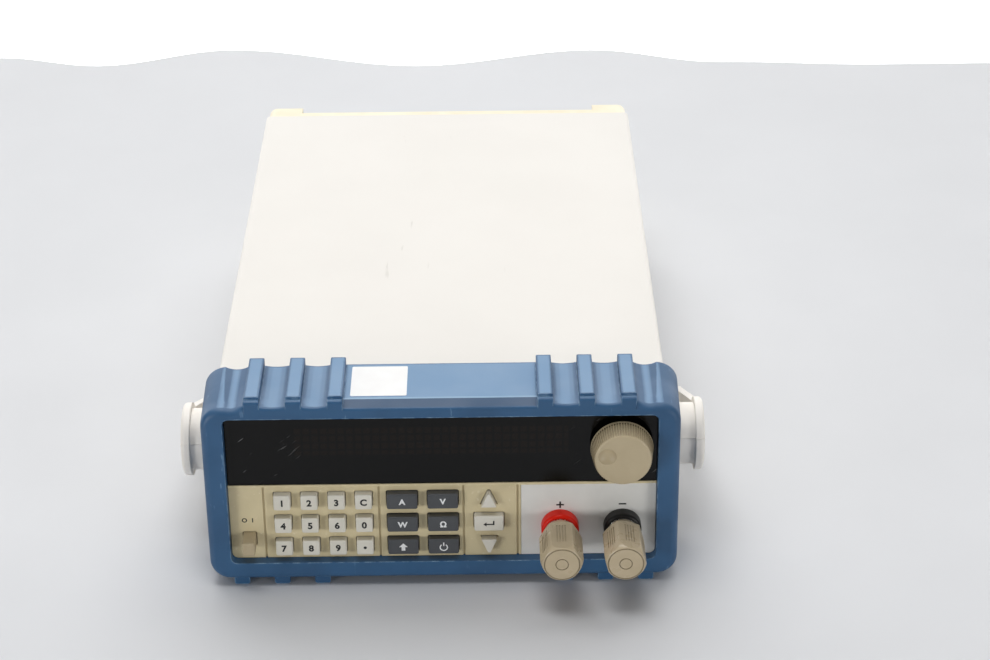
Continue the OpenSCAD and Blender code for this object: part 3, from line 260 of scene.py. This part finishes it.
def smokedAcrylic(name, look):
    # polished smoked sheet: deep black gloss, dot cells just visible, dust and hairlines at the ends
    material, tree, shader, place = startMaterial(name)
    axes = addNode(tree, "ShaderNodeSeparateXYZ", None, {0: place})
    pitch = look["cellPitch"] * mm
    cells = None
    for output, low, high in look["cellArea"]:
        near = addNode(tree, "ShaderNodeMath",
                       {"operation": "COMPARE", 1: (low + high) / 2 * mm, 2: (high - low) / 2 * mm},
                       {0: axes.outputs[output]})
        waves = addNode(tree, "ShaderNodeMath", {"operation": "PINGPONG", 1: pitch / 2},
                        {0: axes.outputs[output]})
        dots = addNode(tree, "ShaderNodeMath", {"operation": "GREATER_THAN", 1: pitch / 8},
                       {0: waves.outputs[0]})
        rows = addNode(tree, "ShaderNodeMath", {"operation": "MULTIPLY"},
                       {0: near.outputs[0], 1: dots.outputs[0]})
        cells = rows if cells is None else addNode(
            tree, "ShaderNodeMath", {"operation": "MULTIPLY"}, {0: cells.outputs[0], 1: rows.outputs[0]})
    turned = addNode(tree, "ShaderNodeMapping", {"Rotation": (0, look["hairTurn"], 0)}, {"Vector": place})
    hairline = noiseMask(tree, turned.outputs[0], look["hair"], 0.68, 0.73, 2.0, (0.2, 1, 1.6))
    aside = addNode(tree, "ShaderNodeMath", {"operation": "ABSOLUTE"}, {0: axes.outputs["X"]})
    ends = addNode(tree, "ShaderNodeMapRange",
                   {"From Min": look["hairFrom"] * mm, "From Max": look["hairTo"] * mm},
                   {"Value": aside.outputs[0]})
    marks = addNode(tree, "ShaderNodeMath", {"operation": "MULTIPLY"}, {0: hairline, 1: ends.outputs[0]})
    paintLayers(tree, shader, look["colour"],
                [(cells.outputs[0], look["cell"]), (marks.outputs[0], look["dust"])])
    smear = noiseMask(tree, place, look["smear"], 0.4, 0.75, 4.0)
    setRough(tree, shader, smear, look["rough"], look["rough"] + 0.16)
    shader.inputs["IOR"].default_value = look["ior"]
    shader.inputs["Specular IOR Level"].default_value = look["shine"]
    return material


finishes = {
    "bumper_rubber": mouldedRubber("mouldedRubberBlue", rubberLook),
    "cover_paint": powderCoatedSteel("powderCoatedSteelWhite", {}),
    "window_acrylic": smokedAcrylic("smokedAcrylic", acrylicLook),
    "panel_abs": mouldedPlastic("mouldedAbsBeige", {
        "colour": "#d3c59f", "shade": "#cdbf99", "dust": "#ddd1b4", "rough": 0.44}),
    "plate_polycarbonate": mouldedPlastic("printedPolycarbonateGrey", {
        "colour": "#e0dfda", "shade": "#d9d8d3", "rough": 0.4, "grain": 0.5, "depth": 0.006}),
    "button_abs": mouldedPlastic("mouldedAbsTan", {
        "colour": "#b5a688", "shade": "#ad9e80", "rough": 0.42}),
    # the knob's flutes are darkened with painted shade
    "knob_abs": mouldedPlastic("mouldedAbsKnob", {
        "colour": "#b9aa8b", "shade": "#b3a384", "rough": 0.4, "edge": 0.05,
        "grimeAndShade": "#3a3022", "deep": 1.0}),
    # the cap's grooves are darkened with painted shade
    "cap_nylon": mouldedPlastic("pearlNylonTan", {
        "colour": "#bfaf92", "shade": "#b8a88a", "rough": 0.3, "mottle": 7, "edge": 0.2,
        "grimeAndShade": "#8f7f64", "deep": 0.8}),
    "collar_red": mouldedPlastic("mouldedNylonRed", {
        "colour": "#e0200a", "shade": "#d51c08", "rough": 0.34, "depth": 0.004, "edge": 0.4, "ior": 1.3}),
    "collar_black": mouldedPlastic("mouldedNylonBlack", {
        "colour": "#242322", "shade": "#1d1c1b", "rough": 0.36, "depth": 0.004, "edge": 0.4, "ior": 1.35}),
    "key_light": mouldedPlastic("mouldedAbsKeyGrey", {
        "colour": "#dad6ca", "shade": "#d4d0c3", "rough": 0.38, "grain": 0.5}),
    "key_dark": mouldedPlastic("mouldedAbsKeyCharcoal", {
        "colour": "#4b4d50", "shade": "#45474a", "rough": 0.36, "grain": 0.5}),
    "handle_abs": mouldedPlastic("mouldedAbsHandle", {
        "colour": "#f4efe7", "shade": "#efeae2", "rough": 0.42, "edge": 0.8}),
    "bezel_abs": mouldedPlastic("mouldedAbsCream", {
        "colour": "#f6ecd2", "shade": "#f0e5c9", "rough": 0.45, "edge": 0.8}),
    "foot_rubber": mouldedPlastic("mouldedRubberFoot", {
        "colour": "#3a3a3c", "shade": "#323234", "rough": 0.7}),
    "rear_steel": powderCoatedSteel("powderCoatedSteelRear", {
        "colour": "#d6d4ce", "shade": "#cfcdc6", "scuff": "#b5b2aa", "rough": 0.45}),
    "fan_plastic": mouldedPlastic("glassFilledPlasticBlack", {
        "colour": "#29292a", "shade": "#222223", "rough": 0.5}),
    "inlet_nylon": mouldedPlastic("mouldedNylonInlet", {
        "colour": "#1f1f20", "shade": "#19191a", "rough": 0.4}),
    "slider_red": mouldedPlastic("mouldedAcetalRed", {
        "colour": "#b8201c", "shade": "#a81b18", "rough": 0.4}),
    "terminal_green": mouldedPlastic("mouldedPolyamideGreen", {
        "colour": "#2f7d46", "shade": "#28713e", "rough": 0.42}),
    "chip_epoxy": mouldedPlastic("mouldedEpoxy", {
        "colour": "#1e1e20", "shade": "#18181a", "rough": 0.55}),
    "board_green": mouldedPlastic("solderMaskGreen", {
        "colour": "#2e6b3f", "shade": "#275f37", "rough": 0.35}),
    "display_glass": mouldedPlastic("displayGlass", {
        "colour": "#2a2019", "shade": "#221a15", "rough": 0.15}),
    "mat_silicone": mouldedPlastic("mouldedSilicone", {
        "colour": "#55565a", "shade": "#4b4c50", "rough": 0.6}),
    "core_iron": mouldedPlastic("varnishedLaminations", {
        "colour": "#5f4838", "shade": "#533e30", "rough": 0.5}),
    "turned_steel": platedMetal("turnedSteel", {
        "colour": "#a9a9aa", "shade": "#97979a", "rough": 0.32}),
    "encoder_zinc": platedMetal("dieCastZinc", {
        "colour": "#8d8f92", "shade": "#7d7f83", "rough": 0.42}),
    "stud_brass": platedMetal("turnedBrass", {
        "colour": "#c9a84a", "shade": "#b9983f", "rough": 0.28}),
    "washer_nickel": platedMetal("nickelPlate", {
        "colour": "#c8c8c6", "shade": "#b6b6b5", "rough": 0.25}),
    "connector_tin": platedMetal("tinPlate", {
        "colour": "#bcbec0", "shade": "#adafb2", "rough": 0.3}),
    "screw_zinc": platedMetal("zincPlate", {
        "colour": "#b5b6b8", "shade": "#a4a6a9", "rough": 0.34}),
    "chassis_steel": platedMetal("zincPlatedSheet", {
        "colour": "#b8babc", "shade": "#a9acaf", "rough": 0.4}),
    "sink_aluminium": platedMetal("extrudedAluminium", {
        "colour": "#a3a7aa", "shade": "#94989c", "rough": 0.38}),
}
for entry in frame["record"]["subparts"]:
    node = frame["nodes"][entry["node"]]
    node.data.materials.clear()
    node.data.materials.append(finishes[entry["material_slot"]])
print("materials:", len(finishes))


# Pieces that Blender adds on the frame

def addPiece(name, mesh, material, body):
    piece = bpy.data.objects.new(name, mesh)
    bpy.context.scene.collection.objects.link(piece)
    mesh.materials.clear()
    mesh.materials.append(material)
    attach(piece, body)
    return piece


def meshFrom(bm, name):
    bmesh.ops.recalc_face_normals(bm, faces=bm.faces[:])
    mesh = bpy.data.meshes.new(name)
    bm.to_mesh(mesh)
    bm.free()
    return mesh


def drawOut(bm, face, vec):  # the face grows into a solid along that vector
    grown = bmesh.ops.extrude_face_region(bm, geom=[face])["geom"]
    bmesh.ops.translate(bm, verts=[v for v in grown if isinstance(v, bmesh.types.BMVert)], vec=vec)


def shownMesh(source):  # a mesh of what an object shows, with text filled in and modifiers applied
    bpy.context.view_layer.update()
    return bpy.data.meshes.new_from_object(
        source.evaluated_get(bpy.context.evaluated_depsgraph_get()))


def printedText(name, text, height, place, material, body, bold, thickness=0.02):
    # a word or number standing on a face that looks to the front, middle at place
    curve = bpy.data.curves.new(name + ".curve", "FONT")
    curve.body = text
    curve.size = height * mm
    curve.offset = bold * mm
    curve.extrude = thickness * mm
    curve.resolution_u = 4
    source = bpy.data.objects.new(name + ".source", curve)
    bpy.context.scene.collection.objects.link(source)
    mesh = shownMesh(source)
    bpy.data.objects.remove(source)
    bpy.data.curves.remove(curve)
    xs = [v.co.x for v in mesh.vertices]
    ys = [v.co.y for v in mesh.vertices]
    middle = Vector(((min(xs) + max(xs)) / 2, (min(ys) + max(ys)) / 2, 0))
    upright = Matrix.Rotation(math.pi / 2, 4, "X")
    mesh.transform(Matrix.Translation(place) @ upright @ Matrix.Translation(-middle))
    return addPiece(name, mesh, material, body)


def inkMaterial(name, colour):
    # screen-printed ink: flat, a little glossier than the plastic under it, thin in places
    return mouldedPlastic(name, {
        "colour": colour[0], "shade": colour[1], "rough": 0.4, "mottle": 1.5, "edge": 0})


# the black ink also paints the shade inside screw slots
blackInkAndSlotShade = inkMaterial("printedInkAndSlotShadeBlack", ("#161616", "#222220"))
whiteInk = inkMaterial("printedInkWhite", ("#eceded", "#dcdddd"))


def keyFace(key):  # the middle of a key's front
    low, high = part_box(key)
    return Vector(((low.x + high.x) / 2, low.y, (low.z + high.z) / 2))


legends = {
    "light": {"height": 4.7, "bold": 0.2, "keys": {
        "key_1": "1", "key_2": "2", "key_3": "3", "key_4": "4", "key_5": "5", "key_6": "6", "key_7": "7",
        "key_8": "8", "key_9": "9", "key_0": "0", "key_point": "•", "key_escape": "C"}},
    "dark": {"height": 4.2, "bold": 0.16, "keys": {
        "key_ampere": "A", "key_volt": "V", "key_watt": "W", "key_ohm": "Ω"}},
}
for kind, ink in (("light", blackInkAndSlotShade), ("dark", whiteInk)):
    look = legends[kind]
    for key, text in look["keys"].items():
        printedText(key + "_legend", text, look["height"], keyFace(key), ink, key, look["bold"])


def flatMark(name, outline, place, material, body, thickness=0.03, facing=-1):
    # a thin printed or inlaid shape on a face that looks to the front, or to the rear
    bm = bmesh.new()
    face = bm.faces.new([bm.verts.new((x * mm, 0, z * mm)) for x, z in outline])
    drawOut(bm, face, (0, facing * thickness * mm, 0))
    bmesh.ops.translate(bm, verts=bm.verts[:], vec=place)
    return addPiece(name, meshFrom(bm, name), material, body)


arrows = {
    "key_shift": {"ink": whiteInk, "outline": [
        (0, 2.2), (2.1, 0.1), (0.9, 0.1), (0.9, -1.9), (-0.9, -1.9), (-0.9, 0.1), (-2.1, 0.1)]},
    "key_enter": {"ink": blackInkAndSlotShade, "outline": [
        (-2.7, -0.35), (-1.2, 0.8), (-1.2, 0.0), (1.9, 0.0), (1.9, 1.6), (2.6, 1.6), (2.6, -0.7),
        (-1.2, -0.7), (-1.2, -1.5)]},
}
for key, look in arrows.items():
    flatMark(key + "_legend", look["outline"], keyFace(key), look["ink"], key)

standby = {"radius": 1.75, "width": 0.55, "gap": 70, "bar": 2.0, "thick": 0.03, "lower": 0.3, "steps": 28}


def standbyMark(look):  # the broken ring and bar of a standby key
    bm = bmesh.new()
    section = [bm.verts.new(((look["radius"] + side * look["width"] / 2) * mm, depth * mm, 0))
               for side, depth in ((-1, 0), (1, 0), (1, -look["thick"]), (-1, -look["thick"]))]
    bm.faces.new(section)
    bmesh.ops.rotate(bm, verts=bm.verts[:], cent=(0, 0, 0),
                     matrix=Matrix.Rotation(math.radians(-90 + look["gap"] / 2), 3, "Y"))
    bmesh.ops.spin(bm, geom=bm.verts[:] + bm.edges[:] + bm.faces[:], cent=(0, 0, 0), axis=(0, 1, 0),
                   angle=math.radians(360 - look["gap"]), steps=look["steps"])
    bar = bmesh.ops.create_cube(bm, size=1)["verts"]
    bmesh.ops.scale(bm, verts=bar, vec=(look["width"] * mm, look["thick"] * mm, look["bar"] * mm))
    bmesh.ops.translate(bm, verts=bar, vec=(0, -look["thick"] / 2 * mm, look["radius"] * mm))
    bmesh.ops.translate(bm, verts=bm.verts[:], vec=keyFace("key_output") - Vector((0, 0, look["lower"] * mm)))
    addPiece("key_output_legend", meshFrom(bm, "key_output_legend"), whiteInk, "key_output")


standbyMark(standby)

panelMarks = {
    "off_mark": {"text": "O", "height": 3.2, "place": (-95.1, 5, 35.0)},
    "on_mark": {"text": "I", "height": 3.2, "place": (-91.2, 5, 35.0)},
    "plus_mark": {"text": "+", "height": 7.2, "place": (56.2, 5, 41.7)},
    "minus_mark": {"text": "−", "height": 7.2, "place": (86.0, 5, 41.8)},
}
for name, look in panelMarks.items():
    printedText(name, look["text"], look["height"], at(*look["place"]), blackInkAndSlotShade, "instrument", 0.12)
print("legends done")

ribHeight = 4.0  # the ribs stand this far over the bumper's flat top

label = {"left": -42.3, "right": -15.8, "front": 9.6, "back": 37.7, "thick": 0.12, "corner": 0.8}


def bareLabel(look):  # a blank paper label stuck on the flat of the bumper's top
    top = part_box("front_bumper")[1].z - ribHeight * mm
    bm = bmesh.new()
    bmesh.ops.create_cube(bm, size=1)
    bmesh.ops.scale(bm, verts=bm.verts[:], vec=(
        (look["right"] - look["left"]) * mm, (look["back"] - look["front"]) * mm, look["thick"] * mm))
    upright = [e for e in bm.edges if abs(e.verts[0].co.z - e.verts[1].co.z) > 1e-6]
    bmesh.ops.bevel(bm, geom=upright, offset=look["corner"] * mm, affect="EDGES", segments=4,
                    profile=0.5, material=-1)
    middle = at((look["left"] + look["right"]) / 2, (look["front"] + look["back"]) / 2, 0)
    middle.z = top + look["thick"] * mm / 2
    bmesh.ops.translate(bm, verts=bm.verts[:], vec=middle)
    paper = mouldedPlastic("coatedPaperWhite", {
        "colour": "#f1f1ef", "shade": "#efeeec", "rough": 0.42, "mottle": 9, "edge": 0})
    addPiece("bare_label", meshFrom(bm, "bare_label"), paper, "instrument")


bareLabel(label)

frontSlope = {
    "half": 45.45, "back": 7.8, "tilt": 10, "round": 1.45, "steps": 10, "spare": 1.0,
    "seams": [4.0, 9.0], "crease": 8,
}


def slopeCutter(look):  # a bar whose underside is the slope and the round front edge
    top = (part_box("front_bumper")[1].z - ribHeight * mm) / mm
    tilt, radius, spare = math.radians(look["tilt"]), look["round"], look["spare"]
    far = look["back"] + spare
    centre = top - (look["back"] - radius * (1 - math.sin(tilt))) * math.tan(tilt) - radius * math.cos(tilt)
    outline = [(-spare, top + 2 * spare), (far, top + 2 * spare), (far, top + spare * math.tan(tilt))]
    for i in range(look["steps"] + 1):
        turn = tilt + (math.pi / 2 - tilt) * i / look["steps"]
        outline.append((radius * (1 - math.sin(turn)), centre + radius * math.cos(turn)))
    outline.append((-spare, centre))
    bm = bmesh.new()
    face = bm.faces.new([bm.verts.new(at(-look["half"], y, z)) for y, z in outline])
    drawOut(bm, face, (2 * look["half"] * mm, 0, 0))
    return bpy.data.objects.new("slope.cutter", meshFrom(bm, "slope.cutter"))


def slopedBumper(look):  # the bumper with its top sloping to the front between the inner ribs
    bm = bmesh.new()
    bm.from_mesh(frame["nodes"]["front_bumper"].data)
    bmesh.ops.remove_doubles(bm, verts=bm.verts[:], dist=0.001 * mm)
    for depth in look["seams"]:  # keeps the shading of the scallops even along their length
        bmesh.ops.bisect_plane(bm, geom=bm.verts[:] + bm.edges[:] + bm.faces[:], plane_co=at(0, depth, 0),
                               plane_no=(0, 1, 0))
    source = bpy.data.objects.new("slope.source", meshFrom(bm, "slope.source"))
    cutter = slopeCutter(look)
    for made in (cutter, source):
        bpy.context.scene.collection.objects.link(made)
    cut = source.modifiers.new("cut", "BOOLEAN")
    cut.operation = "DIFFERENCE"
    cut.solver = "EXACT"
    cut.object = cutter
    mesh = shownMesh(source)
    for made in (cutter, source):
        bpy.data.objects.remove(made)
    mesh.polygons.foreach_set("use_smooth", [True] * len(mesh.polygons))
    mesh.set_sharp_from_angle(angle=math.radians(look["crease"]))
    piece = addPiece("sloped_front_bumper", mesh, finishes["bumper_rubber"], "instrument")
    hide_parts("front_bumper")


slopedBumper(frontSlope)

parting = {
    "hub": (56.0, 50.5), "rise": 20.8, "width": 0.6, "proud": 0.2, "sunk": 0.4,
    "path": [(109.0, 15.2), (123.65, 15.2), (123.65, 18.0), (125.85, 18.0), (126.95, 17.7), (127.75, 16.9),
             (128.05, 15.8), (128.05, 9.0)],
}


def partingLines(look):  # the raised line that the two halves of the mould leave across each hub
    ahead = Vector((0, -math.cos(math.radians(look["rise"])), math.sin(math.radians(look["rise"]))))
    aside = Vector((0, ahead.z, -ahead.y))
    path = [Vector(place) for place in look["path"]]
    outline = []
    for offset, order in ((look["proud"], range(len(path))), (-look["sunk"], reversed(range(len(path))))):
        for i in order:
            run = (path[min(i + 1, len(path) - 1)] - path[max(i - 1, 0)]).normalized()
            outline.append(path[i] + Vector((-run.y, run.x)) * offset)
    bm = bmesh.new()
    for side in (-1, 1):
        face = bm.faces.new([bm.verts.new(
            at(side * x, *look["hub"]) + (ahead * r + aside * look["width"] / 2) * mm) for x, r in outline])
        drawOut(bm, face, -aside * look["width"] * mm)
    addPiece("handle_parting_lines", meshFrom(bm, "handle_parting_lines"), finishes["handle_abs"],
             "handle")


partingLines(parting)
print("label, bumper and parting lines done")

# Fittings at the back
inlet = {
    "place": (-68.0, 36.1), "blades": [(-7, -2), (0, 2), (7, -2)], "size": (2.1, 4.1),
    "from": 341.2, "to": 352.95, "round": 0.6,
}


def inletBlades(look):  # three plated blades inside the mains inlet
    bm = bmesh.new()
    for x, z in look["blades"]:
        blade = bmesh.ops.create_cube(bm, size=1)["verts"]
        bmesh.ops.scale(bm, verts=blade, vec=(
            look["size"][0] * mm, (look["to"] - look["from"]) * mm, look["size"][1] * mm))
        bmesh.ops.translate(bm, verts=blade, vec=at(
            look["place"][0] + x, (look["from"] + look["to"]) / 2, look["place"][1] + z))
    tips = [e for e in bm.edges if min(v.co.y for v in e.verts) > at(0, look["to"] - 0.01, 0).y]
    bmesh.ops.bevel(bm, geom=tips, offset=look["round"] * mm, affect="EDGES", segments=3, profile=0.5,
                    material=-1)
    addPiece("inlet_blades", meshFrom(bm, "inlet_blades"), finishes["washer_nickel"], "instrument")


inletBlades(inlet)

serial = {
    "place": (-18.0, 36.1), "face": 359.0, "half": (7.7, 6.4), "height": 3.45, "thick": 0.06,
    "pitch": 2.75, "row": 1.4, "contact": 0.62, "tip": 0.5, "tall": 0.2, "raise": 0.02,
}


def serialFace(look):  # the black insulator in the socket's shell and its contacts
    top, low = look["half"]
    place = at(look["place"][0], look["face"], look["place"][1])
    outline = [(-top, look["height"]), (top, look["height"]), (low, -look["height"]), (-low, -look["height"])]
    flatMark("serial_insulator", outline, place, finishes["inlet_nylon"], "instrument", look["thick"], 1)
    bm = bmesh.new()
    for count, row in ((5, look["row"]), (4, -look["row"])):
        for i in range(count):
            ring = bmesh.ops.create_cone(bm, cap_ends=True, segments=16, radius1=look["contact"] * mm,
                                         radius2=look["tip"] * mm, depth=look["tall"] * mm)["verts"]
            bmesh.ops.rotate(bm, verts=ring, cent=(0, 0, 0), matrix=Matrix.Rotation(-math.pi / 2, 3, "X"))
            bmesh.ops.translate(bm, verts=ring, vec=place + Vector(
                ((i - (count - 1) / 2) * look["pitch"] * mm, look["raise"] * mm, row * mm)))
    addPiece("serial_contacts", meshFrom(bm, "serial_contacts"), finishes["stud_brass"], "instrument")


serialFace(serial)

sense = {
    "place": (-18.0, 69.1), "face": 357.5, "pitch": 5.0, "count": 4, "up": 3.0, "radius": 1.75,
    "tall": 0.8, "draft": 0.15, "slot": (3.2, 0.4), "slotThick": 0.02,
}


def senseScrews(look):  # slotted clamp screws down in the sense block
    across, high = (size / 2 for size in look["slot"])
    slot = [(-across, high), (across, high), (across, -high), (-across, -high)]
    bm = bmesh.new()
    for i in range(look["count"]):
        head = bmesh.ops.create_cone(bm, cap_ends=True, segments=24, radius1=look["radius"] * mm,
                                     radius2=(look["radius"] - look["draft"]) * mm,
                                     depth=look["tall"] * mm)["verts"]
        bmesh.ops.rotate(bm, verts=head, cent=(0, 0, 0), matrix=Matrix.Rotation(-math.pi / 2, 3, "X"))
        x = look["place"][0] + (i - (look["count"] - 1) / 2) * look["pitch"]
        place = at(x, look["face"] + look["tall"] / 2, look["place"][1] + look["up"])
        bmesh.ops.translate(bm, verts=head, vec=place)
        # each slot is a thin black mark of painted shade, not a cut
        flatMark(f"sense_slot_shade_{i + 1}", slot, place + Vector((0, look["tall"] / 2 * mm, 0)), blackInkAndSlotShade,
                 "instrument", look["slotThick"], 1)
    addPiece("sense_screws", meshFrom(bm, "sense_screws"), finishes["screw_zinc"], "instrument")


senseScrews(sense)

screwHeads = {
    "bezel": {"middle": (0, 52.1), "half": (100.75, 38.9), "face": 358.0},
    "fan": {"middle": (45, 52.1), "half": (25, 25), "face": 355.0},
    "inlet": {"middle": (-68, 36.1), "half": (20, 0), "face": 357.5},
}
driverSlot = {"long": 3.2, "wide": 0.7, "thick": 0.04}


def screwRecessShade(heads, slot):  # a black mark of painted shade where the crossed driver slot in each pan head would be
    bm = bmesh.new()
    for look in heads.values():
        for side in (-1, 1):
            for level in ((-1, 1) if look["half"][1] else (0,)):
                place = at(look["middle"][0] + side * look["half"][0], look["face"],
                           look["middle"][1] + level * look["half"][1])
                for across, high in ((slot["long"], slot["wide"]), (slot["wide"], slot["long"])):
                    bar = bmesh.ops.create_cube(bm, size=1)["verts"]
                    bmesh.ops.scale(bm, verts=bar, vec=(across * mm, slot["thick"] * mm, high * mm))
                    bmesh.ops.translate(bm, verts=bar, vec=place)
    addPiece("screw_recess_shade", meshFrom(bm, "screw_recess_shade"), blackInkAndSlotShade, "instrument")


screwRecessShade(screwHeads, driverSlot)
print("rear fittings done")

# Studio: floor, soft lights and the camera

studio = {
    "floor": "#d9dadc", "floorShade": "#d6d7d9", "floorRough": 0.6, "floorMottle": 90,
    "floorFront": -4.5, "halfWidth": 5.0, "easeSteps": 8,
    "farEdge": [(-5.0, 0.522), (-0.333, 0.522), (-0.258, 0.504), (-0.165, 0.532), (-0.025, 0.497),
                (0.100, 0.524), (0.193, 0.498), (0.308, 0.490), (5.0, 0.490)],
    "sheet": "#ffffff", "sheetGlow": 1.0, "sheetNear": 0.44, "sheetUnder": 0.004, "sheetBend": 3.0,
    "sheetRadius": 0.8, "sheetTop": 3.2,
    "world": "#f4f6fa", "worldPower": 0.14,
    "lights": {
        "rearSoftbox": {"size": (2.4, 1.4), "place": (0, 0.85, 1.8), "aim": (0, 0, 0), "power": 25.5},
        "topSoftbox": {"size": (1.0, 0.4), "place": (-0.1, -0.32, 1.6), "aim": (0, -0.2, 0), "power": 8.5},
        "leftSoftbox": {"size": (1.0, 0.7), "place": (-2.1, -2.2, 0.4), "aim": (0, -0.1, 0.05), "power": 25},
        "rightSoftbox": {"size": (1.0, 0.7), "place": (2.1, -2.2, 0.4), "aim": (0, -0.1, 0.05), "power": 20},
    },
}


def stageSheet(name, rows, material):  # a sheet through rows of places, from the front to the back
    bm = bmesh.new()
    lines = [[bm.verts.new(place) for place in row] for row in rows]
    for near, far in zip(lines, lines[1:]):
        for i in range(len(near) - 1):
            bm.faces.new((near[i], near[i + 1], far[i + 1], far[i]))
    mesh = bpy.data.meshes.new(name)
    bm.to_mesh(mesh)
    bm.free()
    sheet = bpy.data.objects.new(name, mesh)
    bpy.context.scene.collection.objects.link(sheet)
    sheet.data.materials.append(material)


def paleFloor():  # matte board whose far edge was cut by hand
    material, tree, shader, place = startMaterial("matteBoard")
    tone = noiseMask(tree, place, studio["floorMottle"], 0.3, 0.7)
    paintLayers(tree, shader, studio["floor"], [(tone, studio["floorShade"])])
    shader.inputs["Roughness"].default_value = studio["floorRough"]
    steps = studio["easeSteps"]
    edge = []
    for (x0, y0), (x1, y1) in zip(studio["farEdge"], studio["farEdge"][1:]):
        for i in range(steps):
            ease = (1 - math.cos(math.pi * i / steps)) / 2
            edge.append((x0 + (x1 - x0) * i / steps, y0 + (y1 - y0) * ease, 0))
    edge.append((*studio["farEdge"][-1], 0))
    stageSheet("floor", [[(x, studio["floorFront"], 0) for x, y, z in edge], edge], material)


def whiteSheet():  # lit white paper that hangs behind the floor and sweeps under its far edge
    material, tree, shader, place = startMaterial("litPaperWhite")
    shader.inputs["Base Color"].default_value = linear(studio["sheet"])
    shader.inputs["Emission Color"].default_value = linear(studio["sheet"])
    shader.inputs["Emission Strength"].default_value = studio["sheetGlow"]
    bend, radius, steps = studio["sheetBend"], studio["sheetRadius"], studio["easeSteps"]
    profile = [(studio["sheetNear"], -studio["sheetUnder"])]
    for i in range(steps + 1):
        turn = math.pi / 2 * i / steps
        profile.append((bend + radius * math.sin(turn), radius - radius * math.cos(turn)))
    profile.append((bend + radius, studio["sheetTop"]))
    half = studio["halfWidth"]
    stageSheet("backdrop", [[(-half, y, z), (half, y, z)] for y, z in profile], material)


def softLight(name, look):
    lamp = bpy.data.lights.new(name, "AREA")
    lamp.shape = "RECTANGLE"
    lamp.size, lamp.size_y = look["size"]
    lamp.energy = look["power"]
    light = bpy.data.objects.new(name, lamp)
    bpy.context.scene.collection.objects.link(light)
    light.location = look["place"]
    ahead = Vector(look["aim"]) - Vector(look["place"])
    light.rotation_euler = ahead.to_track_quat("-Z", "Y").to_euler()


photoCamera = {
    "place": (23.07, -977.06, 665.72), "pitch": 28.298, "yaw": 0.168, "roll": -0.615,
    "lens": 88.28, "sensor": 36.0,
}


def setCamera(look):
    pitch, yaw, roll = (math.radians(look[k]) for k in ("pitch", "yaw", "roll"))
    ahead = Vector((math.sin(yaw) * math.cos(pitch), math.cos(yaw) * math.cos(pitch), -math.sin(pitch)))
    right = Vector((math.cos(yaw), -math.sin(yaw), 0))
    up = right.cross(ahead)
    across = right * math.cos(roll) + up * math.sin(roll)
    upward = up * math.cos(roll) - right * math.sin(roll)
    data = bpy.data.cameras.new("photoCamera")
    data.lens = look["lens"]
    data.sensor_width = look["sensor"]
    camera = bpy.data.objects.new("photoCamera", data)
    bpy.context.scene.collection.objects.link(camera)
    turn = Matrix((across, upward, -ahead)).transposed().to_4x4()
    camera.matrix_world = Matrix.Translation(at(*look["place"])) @ turn
    bpy.context.scene.camera = camera


paleFloor()
whiteSheet()
for name, look in studio["lights"].items():
    softLight(name, look)
world = bpy.data.worlds.new("studio")
bpy.context.scene.world = world
world.use_nodes = True
sky = world.node_tree.nodes["Background"]
sky.inputs["Color"].default_value = linear(studio["world"])
sky.inputs["Strength"].default_value = studio["worldPower"]
bpy.context.scene.view_settings.view_transform = "Standard"
setCamera(photoCamera)
print("studio done")
